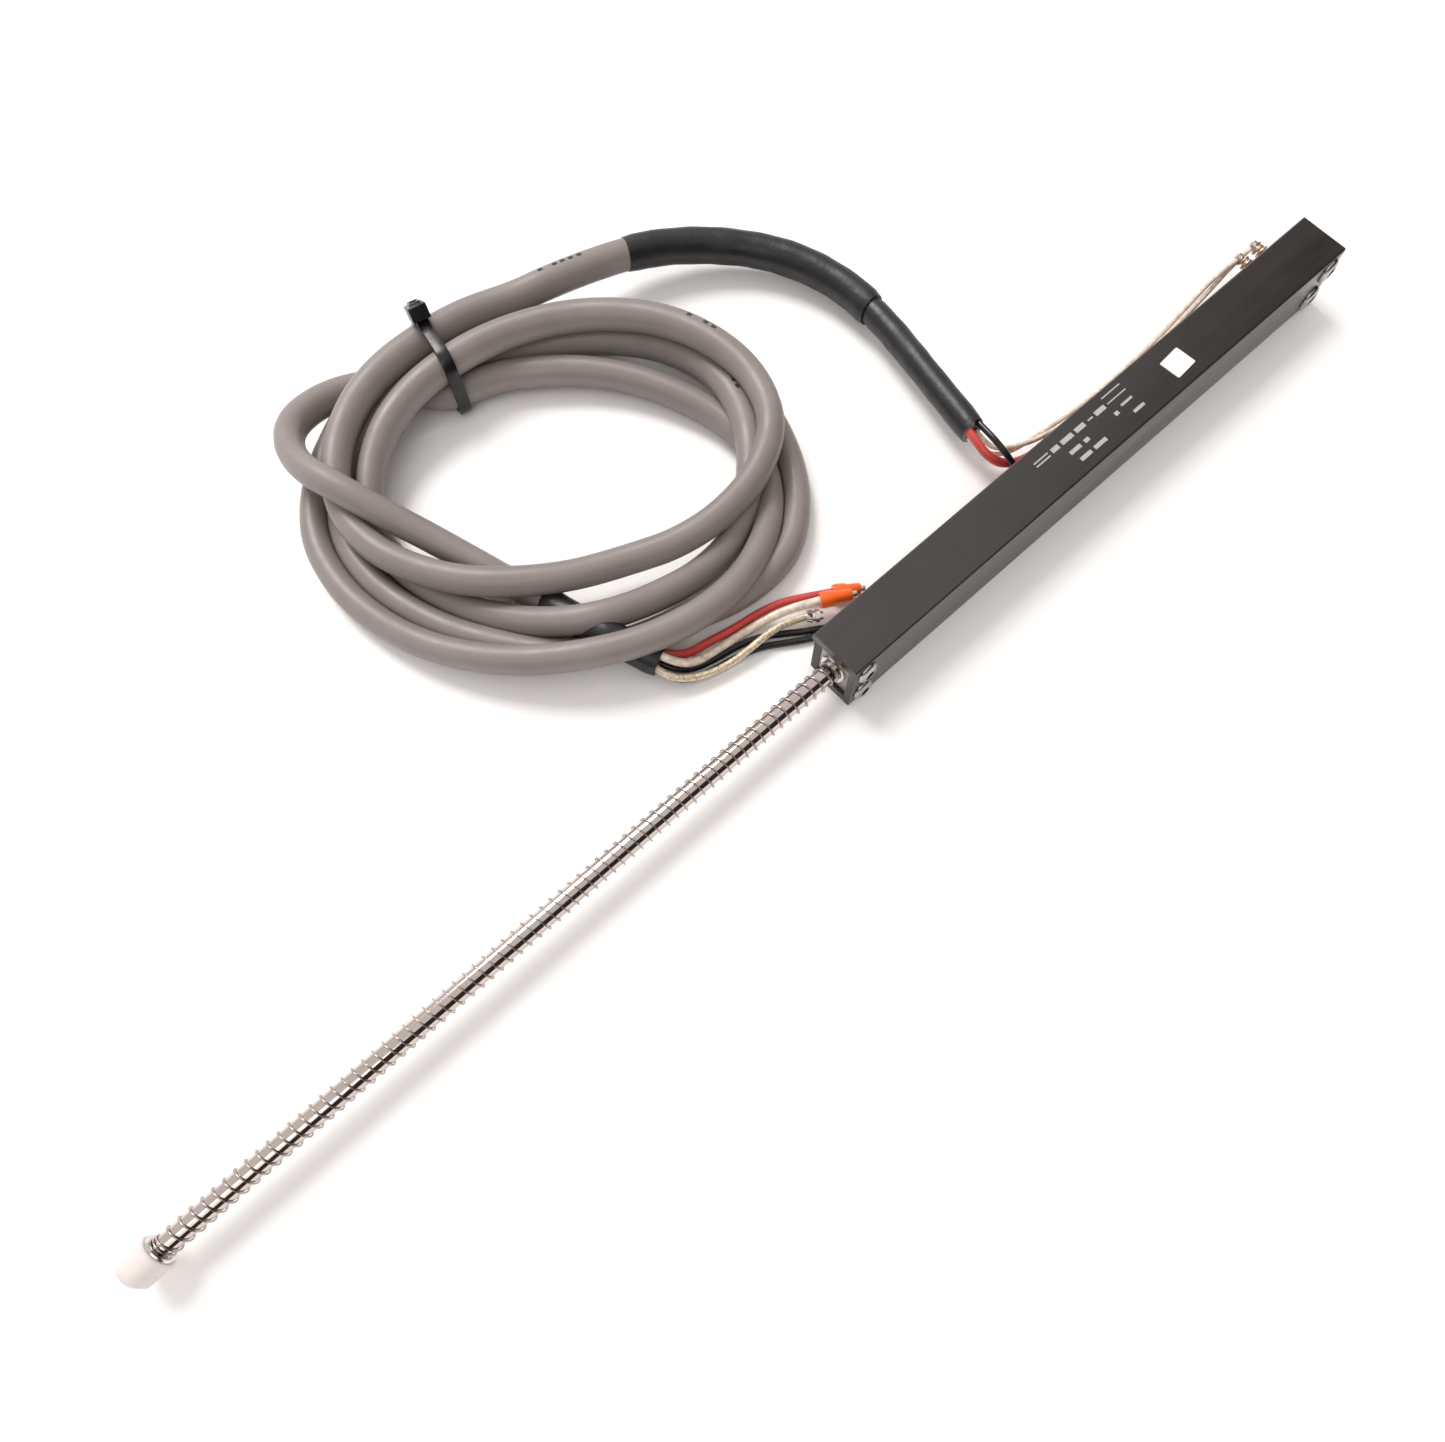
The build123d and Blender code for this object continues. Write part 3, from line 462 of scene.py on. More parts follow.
# ------------------------------------------------------------------ finishes
class Finish:
    """A node material: a Principled surface whose colour, roughness and bump come from noise."""

    NOISE_LOW = 0.3
    NOISE_HIGH = 0.7

    def __init__(self, name, colour, roughness, metallic=0.0, **sockets):
        self.material = bpy.data.materials.new(name)
        self.material.use_nodes = True
        self.nodes = self.material.node_tree.nodes
        self.links = self.material.node_tree.links
        self.surface = self.nodes["Principled BSDF"]
        self.colour = colour
        self.surface.inputs["Base Color"].default_value = (*colour, 1)
        self.surface.inputs["Roughness"].default_value = roughness
        self.surface.inputs["Metallic"].default_value = metallic
        for socket, value in sockets.items():
            self.surface.inputs[socket.replace("_", " ")].default_value = value
        self.relief = None

    def node(self, kind, inputs=None, **values):
        node = self.nodes.new(kind)
        for name, value in values.items():
            setattr(node, name, value)
        for name, value in (inputs or {}).items():
            if isinstance(value, bpy.types.NodeSocket):
                self.links.new(value, node.inputs[name])
            else:
                node.inputs[name].default_value = value
        return node

    def noise(self, scale, detail, rough, stretch):
        where = self.node("ShaderNodeTexCoord").outputs["Object"]
        spot = self.node("ShaderNodeMapping", {"Vector": where, "Scale": stretch}).outputs[0]
        return self.node("ShaderNodeTexNoise", {
            "Vector": spot, "Scale": scale, "Detail": detail, "Roughness": rough}).outputs["Fac"]

    def ramp(self, value, low, high):
        ramp = self.node("ShaderNodeValToRGB", {"Fac": value})
        ramp.color_ramp.elements[0].position = self.NOISE_LOW
        ramp.color_ramp.elements[1].position = self.NOISE_HIGH
        ramp.color_ramp.elements[0].color = (*low, 1)
        ramp.color_ramp.elements[1].color = (*high, 1)
        return ramp.outputs["Color"]

    def mottle(self, scale, amount, stretch=(1, 1, 1)):
        """Vary the base colour by a part of itself, both ways."""
        low = tuple(c * (1 - amount) for c in self.colour)
        high = tuple(min(c * (1 + amount), 1) for c in self.colour)
        colour = self.ramp(self.noise(scale, detail=3.0, rough=0.55, stretch=stretch), low, high)
        self.links.new(colour, self.surface.inputs["Base Color"])
        return self

    def rough(self, scale, low, high, stretch=(1, 1, 1)):
        """Vary the roughness between two values."""
        value = self.noise(scale, detail=4.0, rough=0.6, stretch=stretch)
        spread = self.node("ShaderNodeMapRange", {
            "Value": value, "From Min": self.NOISE_LOW, "From Max": self.NOISE_HIGH,
            "To Min": low, "To Max": high})
        self.links.new(spread.outputs["Result"], self.surface.inputs["Roughness"])
        return self

    def bump(self, scale, strength, distance, stretch=(1, 1, 1)):
        """Lay fine relief over any that is there already."""
        value = self.noise(scale, detail=3.0, rough=0.6, stretch=stretch)
        inputs = {"Height": value, "Strength": strength, "Distance": distance}
        if self.relief:
            inputs["Normal"] = self.relief
        self.relief = self.node("ShaderNodeBump", inputs).outputs["Normal"]
        self.links.new(self.relief, self.surface.inputs["Normal"])
        return self


FINISHES = {}


def finish(name):
    return FINISHES[name].material


def make_finishes(look):
    def add(name, *args, **kwargs):
        FINISHES[name] = Finish(name, *args, **kwargs)
        return FINISHES[name]

    add("anodised", tuple(look.housing_colour), 0.3, 0.0, IOR=1.75).mottle(90, 0.14).rough(
        240, 0.22, 0.34, (0.08, 1, 1)).bump(2600, 0.3, 0.00002, (0.06, 1, 1))
    add("cover_plastic", (0.016, 0.015, 0.016), 0.42).mottle(200, 0.2).bump(1800, 0.2, 0.00003)
    add("end_metal", (0.42, 0.37, 0.31), 0.42, 0.3).mottle(300, 0.12).rough(500, 0.36, 0.5).bump(
        1800, 0.3, 0.00003)
    add("rod_steel", (0.66, 0.59, 0.55), 0.1, 1.0).mottle(120, 0.06, (0.3, 3, 3)).rough(
        60, 0.07, 0.15, (0.2, 4, 4)).bump(500, 0.06, 0.00002, (0.05, 3, 3))
    add("spring_wire", (0.50, 0.45, 0.42), 0.26, 1.0).mottle(400, 0.2).rough(900, 0.2, 0.36)
    add("screw_metal", (0.50, 0.48, 0.46), 0.28, 1.0).mottle(700, 0.15).rough(900, 0.2, 0.4)
    add("bright_metal", (0.76, 0.75, 0.73), 0.2, 1.0).mottle(900, 0.1).rough(900, 0.14, 0.32)
    add("brass", (0.62, 0.43, 0.2), 0.3, 1.0).mottle(700, 0.15).rough(900, 0.22, 0.42)
    add("tip_plastic", (0.74, 0.68, 0.655), 0.42, Subsurface_Weight=0.12, Subsurface_Scale=0.001).mottle(
        250, 0.05).rough(600, 0.34, 0.5).bump(1500, 0.2, 0.00004)
    add("white_plastic", (0.8, 0.79, 0.76), 0.5).mottle(300, 0.05).bump(1200, 0.2, 0.00003)
    add("grey_rubber", (0.07, 0.07, 0.07), 0.7).mottle(500, 0.2).bump(2500, 0.4, 0.00003)
    add("board", (0.2, 0.16, 0.07), 0.5).mottle(800, 0.15).bump(3000, 0.3, 0.00002)
    add("carbon", (0.015, 0.015, 0.015), 0.55).mottle(900, 0.3).bump(3000, 0.3, 0.00002)
    add("label", (0.82, 0.82, 0.81), 0.55).mottle(150, 0.03).bump(2000, 0.2, 0.00002)
    add("jacket", tuple(look.jacket_colour), 0.4, 0.0, Specular_IOR_Level=0.45).mottle(55, 0.1).rough(
        160, 0.34, 0.5).bump(130, 0.12, 0.0003).bump(1600, 0.2, 0.00005)
    add("heat_shrink", (0.011, 0.011, 0.012), 0.4, 0.0).mottle(120, 0.25).rough(300, 0.32, 0.52).bump(
        420, 0.5, 0.00025).bump(2400, 0.2, 0.00004)
    add("nylon", (0.009, 0.009, 0.010), 0.3).mottle(300, 0.3).rough(500, 0.22, 0.4).bump(
        1400, 0.25, 0.00004)
    add("red_insulation", (0.55, 0.055, 0.045), 0.3, 0.0, Coat_Weight=0.2).mottle(160, 0.15).rough(
        500, 0.24, 0.4).bump(900, 0.2, 0.00005)
    add("black_insulation", (0.008, 0.008, 0.009), 0.24).mottle(300, 0.3).rough(500, 0.18, 0.34).bump(
        900, 0.2, 0.00005)
    add("clear_insulation", (0.74, 0.62, 0.52), 0.25, 0.0, Coat_Weight=0.5).mottle(900, 0.28).bump(
        1600, 0.4, 0.00008)
    add("braid", (0.72, 0.60, 0.44), 0.35, 0.55).mottle(1800, 0.4).bump(2600, 0.9, 0.0002)
    add("copper_strand", (0.66, 0.50, 0.36), 0.35, 0.8).mottle(1500, 0.25).rough(900, 0.25, 0.45)
    add("orange_plastic", (1.0, 0.13, 0.008), 0.32, 0.0, Coat_Weight=0.25).mottle(400, 0.08).rough(
        500, 0.26, 0.42).bump(900, 0.2, 0.00005)
    add("solder", (0.55, 0.54, 0.52), 0.3, 1.0).mottle(1500, 0.25).bump(2200, 0.6, 0.0001)
    # socket_shade is painted shade: a near-black finish for the faces down in the screws' sockets.
    add("socket_shade", (0.012, 0.011, 0.011), 0.5, 0.6).mottle(900, 0.3)
    add("printed_white", (0.42, 0.41, 0.40), 0.5).mottle(2500, 0.2)
    add("printed_black", (0.03, 0.028, 0.027), 0.5).mottle(2500, 0.3)
    add("floor", (0.93, 0.925, 0.92), 0.6).mottle(6, 0.01)
    add("dark_wall", (0.035, 0.022, 0.018), 0.9).mottle(2, 0.1)


# ------------------------------------------------------------------ settings
class SensorLook(bpy.types.PropertyGroup):
    """Colours of the two largest finishes."""

    housing_colour: FloatVectorProperty(
        name="Housing", description="Colour of the satin housing", subtype="COLOR",
        default=(0.020, 0.0160, 0.0152))
    jacket_colour: FloatVectorProperty(
        name="Jacket", description="Colour of the cable's jacket", subtype="COLOR",
        default=(0.235, 0.205, 0.190))


class CableSizes(bpy.types.PropertyGroup):
    """Sizes of the cable and of the sleeves and tie on it."""

    jacket: FloatProperty(
        name="Jacket", description="Diameter of the cable's jacket", default=0.0062, unit="LENGTH")
    front_sleeve: FloatProperty(
        name="Front sleeve", description="Diameter of the sleeve over the thin end", default=0.0060,
        unit="LENGTH")
    rear_sleeve: FloatProperty(
        name="Rear sleeve", description="Diameter of the sleeves over the jacket", default=0.0070,
        unit="LENGTH")
    strap_width: FloatProperty(
        name="Strap width", description="Width of the tie's strap", default=0.0028, unit="LENGTH")
    strap_thickness: FloatProperty(
        name="Strap thickness", description="Thickness of the tie's strap", default=0.0011,
        unit="LENGTH")


class SpringSizes(bpy.types.PropertyGroup):
    """Sizes of the return spring."""

    wire: FloatProperty(
        name="Wire", description="Diameter of the spring's wire", default=0.00036, unit="LENGTH")
    outside: FloatProperty(
        name="Outside", description="Outside diameter of the spring", default=0.0050, unit="LENGTH")
    turns: IntProperty(
        name="Turns", description="Open turns of the spring", default=69, min=10)
    stroke: FloatProperty(
        name="Stroke", description="How far the rod goes in", default=0.1, unit="LENGTH")


class StageLight(bpy.types.PropertyGroup):
    """Strength of the studio's lights."""

    key: FloatProperty(
        name="Key", description="Power of the main soft light", default=9.0, min=0)
    fill: FloatProperty(
        name="Fill", description="Power of the fill light", default=2.0, min=0)
    sky: FloatProperty(
        name="Sky", description="Strength of the even pale surroundings", default=0.75, min=0)


# ------------------------------------------------------------------ camera and cords
class SENSOR_OT_camera(bpy.types.Operator):
    """Place the camera above the tip's side of the sensor"""

    bl_idname = "sensor.camera"
    bl_label = "Camera"

    def execute(self, context):
        data = bpy.data.cameras.new("camera")
        camera = bpy.data.objects.new("camera", data)
        context.scene.collection.objects.link(camera)
        turn = Matrix((CAMERA_RIGHT, -Vector(CAMERA_DOWN), -Vector(CAMERA_AHEAD))).transposed()
        camera.matrix_world = Matrix.Translation(CAMERA_PLACE) @ turn.to_4x4()
        data.sensor_width = CAMERA_SENSOR
        data.lens = CAMERA_LENS
        data.shift_x, data.shift_y = CAMERA_SHIFT
        data.clip_start, data.clip_end = CAMERA_CLIP
        context.scene.camera = camera
        return {"FINISHED"}


# Each finished cord's piece, control points in millimetres and diameter in metres.
CORDS = {}


class SENSOR_OT_cable(bpy.types.Operator):
    """Lay the jacketed cable from its front sleeve round the tied coil to its end sleeve"""

    bl_idname = "sensor.cable"
    bl_label = "Cable"

    def execute(self, context):
        sizes = context.scene.sensor_cable
        points = LEAD_IN + coil_points(POINTS_A_STEP) + LEAD_OUT
        full = len(points) - THIN_AT_START - THIN_AT_END
        radii = [THINNER] * THIN_AT_START + [1.0] * full + [THINNER] * THIN_AT_END
        cable = nurbs("cable", points, sizes.jacket / 2 / MM, radii, bevel=6)
        finished(cable, "cable", finish("jacket"), "grey_jacket", BODY, "cable_lead", "cable_coil")
        CORDS["cable"] = (cable, points, sizes.jacket)
        return {"FINISHED"}


class SENSOR_OT_wires(bpy.types.Operator):
    """Fan the conductors out of the end sleeve and lead those of the front sleeve to their pins"""

    bl_idname = "sensor.wires"
    bl_label = "Conductors"

    def execute(self, context):
        kinds = {
            "red": ("red_insulation", "red_wire"), "clear": ("clear_insulation", "clear_wire"),
            "shield": ("braid", "shield_braid"), "black": ("black_insulation", "black_wire"),
        }
        for name, (diameter, points) in {**WIRES, **LEADS}.items():
            look, slot = kinds[name.split("_")[1]]
            wire = nurbs(name, points, diameter / 2, bevel=4)
            finished(wire, "free_" + name, finish(look), slot, BODY, name)
            CORDS[name] = (wire, points, diameter * MM)
        return {"FINISHED"}


class SENSOR_OT_sleeves(bpy.types.Operator):
    """Shrink the black sleeves onto the cable"""

    bl_idname = "sensor.sleeves"
    bl_label = "Sleeves"

    def execute(self, context):
        sizes = context.scene.sensor_cable
        line = line_of(CORDS["cable"][1])
        end_start = length_of(line) - END_SLEEVE_LENGTH * MM
        for name, start, end, diameter, node in (
            ("front_sleeve", 0.0, FRONT_SLEEVE_END * MM, sizes.front_sleeve, "sleeve_front"),
            ("rear_sleeve", REAR_SLEEVE_START * MM, REAR_SLEEVE_END * MM, sizes.rear_sleeve, "sleeve_rear"),
            ("end_sleeve_skin", end_start, math.inf, sizes.rear_sleeve, "end_sleeve"),
        ):
            points = stretch_of(line, start, end)
            radii = []
            for i in range(len(points)):
                skin = 1 + sum(size * math.sin(i * pace + lag) for size, pace, lag in SLEEVE_WAVES)
                radii.append(diameter / 2 * (SLEEVE_EDGE if i in (0, len(points) - 1) else skin))
            sleeve = tube_on(points, radii, name)
            finished(sleeve, name, finish("heat_shrink"), "heat_shrink", BODY, node)
        return {"FINISHED"}


def strands_at(line, middle, turn, reach):
    """Where the cable's line crosses an upright plane through middle, as (across, height)."""
    across = Vector((math.sin(turn), math.cos(turn), 0))
    through = Vector((math.cos(turn), -math.sin(turn), 0))
    places = []
    for a, b in zip(line, line[1:]):
        before, after = (a - middle).dot(through), (b - middle).dot(through)
        if before * after <= 0 and before != after:
            place = a.lerp(b, before / (before - after))
            if abs((place - middle).dot(across)) < reach:
                places.append(((place - middle).dot(across), place.z))
    return places


def outline_round(places, radius, steps=28):
    """The taut outline round circles of that radius at the places, as (y, z) points."""
    points = sorted(
        (y + radius * math.cos(2 * math.pi * k / steps), z + radius * math.sin(2 * math.pi * k / steps))
        for y, z in places for k in range(steps))
    halves = []
    for ordered in (points, points[::-1]):
        half = []
        for p in ordered:
            while len(half) > 1:
                (ax, ay), (bx, by) = half[-2], half[-1]
                if (bx - ax) * (p[1] - ay) - (by - ay) * (p[0] - ax) > 1e-12:
                    break
                half.pop()
            half.append(p)
        halves += half[:-1]
    return halves


def strap_on(loop, sizes):
    """A flat strap wound once round a closed outline of (y, z) points in metres."""
    curve = bpy.data.curves.new("strap", "CURVE")
    curve.dimensions = "3D"
    spline = curve.splines.new("POLY")
    spline.points.add(len(loop) - 1)
    for point, (y, z) in zip(spline.points, loop):
        point.co = (-sizes.strap_width / 2, y, z, 1.0)
    spline.use_cyclic_u = True
    strap = bpy.data.objects.new("strap", curve)
    bpy.context.scene.collection.objects.link(strap)
    only(strap)
    bpy.ops.object.convert(target="MESH")
    strap = bpy.context.object
    bpy.ops.object.mode_set(mode="EDIT")
    bpy.ops.mesh.select_all(action="SELECT")
    bpy.ops.mesh.extrude_region_move(TRANSFORM_OT_translate={"value": (sizes.strap_width, 0, 0)})
    bpy.ops.object.mode_set(mode="OBJECT")
    settle(strap)
    face = max(strap.data.polygons, key=lambda f: f.center.z)
    outwards = 1.0 if face.normal.z > 0 else -1.0
    use_modifier(strap, "SOLIDIFY", thickness=sizes.strap_thickness, offset=outwards)
    settle(strap)
    use_modifier(
        strap, "BEVEL", width=STRAP_EDGE * MM, segments=2, limit_method="ANGLE",
        angle_limit=math.radians(60))
    return strap


def tie_head(y, z):
    """The tie's tilted head, a block with a raised rim round a sunk pocket, at a (y, z) in metres."""
    deselect()
    bpy.ops.mesh.primitive_cube_add(size=1.0)
    head = bpy.context.object
    head.scale = metres(HEAD_SIZE)
    bpy.ops.object.transform_apply(location=False, rotation=False, scale=True)
    bpy.ops.object.mode_set(mode="EDIT")
    bpy.ops.mesh.select_mode(type="FACE")
    bpy.ops.mesh.select_all(action="DESELECT")
    bpy.ops.object.mode_set(mode="OBJECT")
    for polygon in head.data.polygons:
        polygon.select = polygon.normal.z > 0.9
    bpy.ops.object.mode_set(mode="EDIT")
    bpy.ops.mesh.inset(thickness=HEAD_RIM * MM)
    bpy.ops.mesh.extrude_region_move(TRANSFORM_OT_translate={"value": (0, 0, HEAD_RISE * MM)})
    bpy.ops.mesh.inset(thickness=HEAD_POCKET_WALL * MM)
    bpy.ops.mesh.extrude_region_move(TRANSFORM_OT_translate={"value": (0, 0, -HEAD_POCKET_DEPTH * MM)})
    bpy.ops.object.mode_set(mode="OBJECT")
    use_modifier(
        head, "BEVEL", width=HEAD_EDGE * MM, segments=3, limit_method="ANGLE",
        angle_limit=math.radians(30))
    head.rotation_euler = (math.radians(HEAD_TILT), 0, 0)
    head.location = (0, y, z)
    return settle(head)


class SENSOR_OT_tie(bpy.types.Operator):
    """Bind the coil with a ratchet strap and its head"""

    bl_idname = "sensor.tie"
    bl_label = "Cable tie"

    def execute(self, context):
        sizes = context.scene.sensor_cable
        middle = metres(TIE_MIDDLE)
        turn = math.radians(TIE_TURN)
        places = strands_at(line_of(CORDS["cable"][1]), middle, turn, TIE_GATHER * MM)
        loop = outline_round(places, sizes.jacket / 2 + STRAP_GAP * MM)
        strap = strap_on(loop, sizes)
        top = max(z for _, z in loop)
        outermost = min(y for y, z in places if z > top - TOP_STRANDS * MM)
        head = tie_head(outermost - HEAD_OUT * MM, top + sizes.strap_thickness + HEAD_LIFT * MM)
        tie = join([strap, head])
        tie.matrix_world = Matrix.Translation(middle) @ Matrix.Rotation(-turn, 4, "Z")
        settle(tie)
        smooth(tie, 32)
        finished(tie, "tie", finish("nylon"), "nylon_black", BODY, "cable_tie")
        return {"FINISHED"}


class SENSOR_OT_terminals(bpy.types.Operator):
    """Crimp the orange sleeve terminals and the shield's lug onto their wires"""

    bl_idname = "sensor.terminals"
    bl_label = "Crimps and lug"

    def execute(self, context):
        for name, (start, end) in CRIMPS.items():
            direction = Vector(end) - Vector(start)
            reach = direction.length
            skirt = turned(SKIRT_MOUTH + [(part * reach, radius) for part, radius in SKIRT_BODY])
            barrel = turned(
                [(part * reach, radius) for part, radius in BARREL_BODY]
                + [(reach + BARREL_TIP, BARREL_MOUTH), (BARREL_BORE[0] * reach, BARREL_BORE[1])])
            for obj in (skirt, barrel):
                lay_along(obj, start, direction)
                smooth(obj, 40)
            finished(skirt, name + "_skirt", finish("orange_plastic"), "orange_plastic", BODY, name)
            finished(barrel, name + "_barrel", finish("bright_metal"), "bright_metal", BODY)
        lug = turned(LUG_PROFILE, LUG_SEGMENTS)
        for vertex in lug.data.vertices:
            if vertex.co.z > LUG_MOUTH * MM:
                vertex.co.x *= LUG_WIDER
                vertex.co.y *= LUG_FLATTER
        lay_along(lug, LUG_START, Vector(LUG_END) - Vector(LUG_START))
        smooth(lug, 40)
        finished(lug, "lug", finish("bright_metal"), "bright_metal", BODY, "shield_lug")
        return {"FINISHED"}


class SENSOR_OT_joints(bpy.types.Operator):
    """Wrap the bared strands of the leads round the upper terminal pins"""

    bl_idname = "sensor.joints"
    bl_label = "Wrapped joints"

    def execute(self, context):
        wraps = []
        for pin_x, pin_z, start, lean in WRAPPED_PINS:
            for strand in range(WRAP_STRANDS):
                turn = 2 * math.pi * strand / WRAP_STRANDS + lean
                path = []
                for step in range(WRAP_STEPS + 1):
                    along = step / WRAP_STEPS
                    angle = turn + 2 * math.pi * WRAP_TURNS * along
                    reach = WRAP_RADIUS + WRAP_WAVE * math.sin(WRAP_WAVES * along + strand)
                    reach += LOOSE_LEAN * max(along - LOOSE_FROM, 0)
                    path.append(metres((
                        pin_x + reach * math.cos(angle),
                        start + WRAP_LENGTH * along + WRAP_SHIFT * strand,
                        pin_z + reach * math.sin(angle))))
                wraps.append(tube_on(path, [STRAND_RADIUS * MM] * len(path), "strand"))
        joints = join(wraps)
        finished(joints, "wrapped_strands", finish("copper_strand"), "shield_braid", BODY)
        return {"FINISHED"}


class SENSOR_OT_spring(bpy.types.Operator):
    """Wind the return spring between the bushing and the washer"""

    bl_idname = "sensor.spring"
    bl_label = "Return spring"

    def execute(self, context):
        sizes = context.scene.sensor_spring
        radius = (sizes.outside - sizes.wire) / 2
        start = FLANGE_X * MM + sizes.wire / 2
        end = WASHER_X * MM - sizes.wire / 2
        tight = sizes.wire * DEAD_PITCH
        pitch = (end - start - 2 * DEAD_TURNS * tight) / sizes.turns
        coils = []
        for place, turn_pitch, turns, angle in (
            (start, tight, DEAD_TURNS, 0.0),
            (start + DEAD_TURNS * tight, pitch, sizes.turns, DEAD_TURNS * 360.0),
            (end - DEAD_TURNS * tight, tight, DEAD_TURNS, (DEAD_TURNS + sizes.turns) * 360.0),
        ):
            deselect()
            bpy.ops.mesh.primitive_circle_add(
                vertices=WIRE_SIDES, radius=sizes.wire / 2, rotation=(math.pi / 2, 0, 0))
            coil = context.object
            bpy.ops.object.transform_apply(location=False, rotation=True, scale=False)
            bpy.ops.object.mode_set(mode="EDIT")
            bpy.ops.mesh.select_all(action="SELECT")
            bpy.ops.transform.translate(value=(0, 0, radius))
            bpy.ops.object.mode_set(mode="OBJECT")
            repeats = turns if turns == int(turns) else 1
            steps = round(STEPS_A_TURN * turns / repeats)
            use_modifier(
                coil, "SCREW", axis="X", angle=2 * math.pi * turns / repeats,
                screw_offset=turn_pitch * turns / repeats, iterations=repeats, steps=steps,
                render_steps=steps, use_merge_vertices=False, use_smooth_shade=True)
            coil.rotation_euler = (math.radians(angle), 0, 0)
            coil.location = (place, 0, (AXIS_Z - SPRING_SAG) * MM)
            settle(coil)
            coils.append(coil)
        spring = join(coils)
        only(spring)
        bpy.ops.object.mode_set(mode="EDIT")
        bpy.ops.mesh.select_all(action="SELECT")
        bpy.ops.mesh.fill_holes(sides=WIRE_SIDES)
        bpy.ops.mesh.normals_make_consistent(inside=False)
        bpy.ops.object.mode_set(mode="OBJECT")
        smooth(spring, 60)
        finished(spring, "spring", finish("spring_wire"), "spring_steel", BODY, "return_spring")
        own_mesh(spring)
        return {"FINISHED"}


class SENSOR_OT_screws(bpy.types.Operator):
    """Fit the button-head screws to the side wall"""

    bl_idname = "sensor.screws"
    bl_label = "Button-head screws"

    def execute(self, context):
        for name, x in (("front", SCREW_X), ("rear", -SCREW_X)):
            for level, z in SCREW_LEVELS.items():
                head = turned(SCREW_PROFILE)
                deselect()
                bpy.ops.mesh.primitive_cylinder_add(
                    vertices=6, radius=SOCKET_RADIUS * MM, depth=SOCKET_HEIGHT * MM,
                    location=(0, 0, SOCKET_MIDDLE * MM))
                socket = context.object
                use_modifier(head, "BOOLEAN", operation="DIFFERENCE", object=socket, solver="EXACT")
                bpy.data.objects.remove(socket)
                turn = Matrix.Rotation(-math.pi / 2, 4, "X")
                head.matrix_world = Matrix.Translation(metres((x, HALF_SIDE, z))) @ turn
                settle(head)
                smooth(head, 28)
                nodes = [name + "_screws"] if level == "lower" else []
                finished(head, f"screw_{name}_{level}", finish("screw_metal"), "screw_steel", BODY, *nodes)
                # The faces down in each socket get the near-black socket_shade, a painted shade.
                head.data.materials.append(finish("socket_shade"))
                for face in head.data.polygons:
                    off = math.hypot(face.center.x - x * MM, face.center.z - z * MM)
                    if off < SOCKET_REACH * MM and face.center.y > HALF_SIDE * MM:
                        face.material_index = 1
        return {"FINISHED"}


# ------------------------------------------------------------------ carried-over finishes and marks
CAD_FINISHES = {
    "housing": "anodised", "side_cover": "cover_plastic", "front_block": "end_metal",
    "rear_block": "end_metal", "front_bushing": "bright_metal", "shaft_seal": "grey_rubber",
    "front_cushion": "grey_rubber",
    "rear_cushion": "grey_rubber", "element_board": "board", "collector_track": "brass",
    "resistive_track": "carbon", "terminal_pins": "brass", "terminal_collars": "white_plastic",
    "solder_beads": "solder", "shaft": "rod_steel", "wiper_carriage": "white_plastic",
    "wiper_brush": "brass",
    "carriage_clip": "spring_wire", "spring_washer": "bright_metal", "contact_tip": "tip_plastic",
    "cover_screws": "screw_metal", "label_sticker": "label",
}


def dashes(places, thickness):
    """Flat bevelled bars of (centre, direction, up, length, width) joined into one mesh."""
    bars = []
    for centre, along, up, length, width in places:
        deselect()
        bpy.ops.mesh.primitive_cube_add(size=1.0)
        bar = bpy.context.object
        bar.scale = (length, width, thickness)
        bpy.ops.object.transform_apply(location=False, rotation=False, scale=True)
        side = up.cross(along).normalized()
        turn = Matrix((along, side, up)).transposed().to_4x4()
        bar.matrix_world = Matrix.Translation(centre) @ turn
        settle(bar)
        bars.append(bar)
    marks = join(bars)
    use_modifier(marks, "BEVEL", width=thickness * 0.3, segments=2, limit_method="ANGLE")
    return marks


class SENSOR_OT_marks(bpy.types.Operator):
    """Print plain bars on the housing's top and on the cable's jacket"""

    bl_idname = "sensor.marks"
    bl_label = "Printed bars"

    def execute(self, context):
        thickness = PRINT_THICKNESS * MM
        up = Vector((0, 0, 1))
        along = Vector((1, 0, 0))
        places = []
        for x, y, length, width in HOUSING_BARS:
            middle = metres((x, y, HOUSING_TOP)) + up * thickness / 2
            places.append((middle, along, up, length * MM, width * MM))
        marks = dashes(places, thickness)
        finished(marks, "printed_bars", finish("printed_white"), "label_white", BODY)
        line = line_of(CORDS["cable"][1])
        radius = context.scene.sensor_cable.jacket / 2
        places = []
        for x, y, z, lean in CABLE_BARS:
            target = metres((x, y, z))
            i = min(range(1, len(line) - 1), key=lambda k: (line[k] - target).length)
            along = (line[i + 1] - line[i - 1]).normalized()
            side = along.cross(up).normalized()
            out = up * math.cos(math.radians(lean)) + side * math.sin(math.radians(lean))
            out = (out - along * out.dot(along)).normalized()
            middle = line[i] + out * (radius - thickness * CABLE_BAR_SINK)
            places.append((middle, along, out, *(size * MM for size in CABLE_BAR)))
        marks = dashes(places, thickness * CABLE_BAR_BUILD)
        finished(marks, "cable_bars", finish("printed_black"), "heat_shrink", BODY)
        return {"FINISHED"}


class SENSOR_OT_frame_parts(bpy.types.Operator):
    """Give the parts carried over from the frame their finishes"""

    bl_idname = "sensor.frame_parts"
    bl_label = "Housing and rod"

    def execute(self, context):
        for node, name in CAD_FINISHES.items():
            material = finish(name)
            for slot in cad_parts[node].material_slots:
                slot.material = material
        return {"FINISHED"}


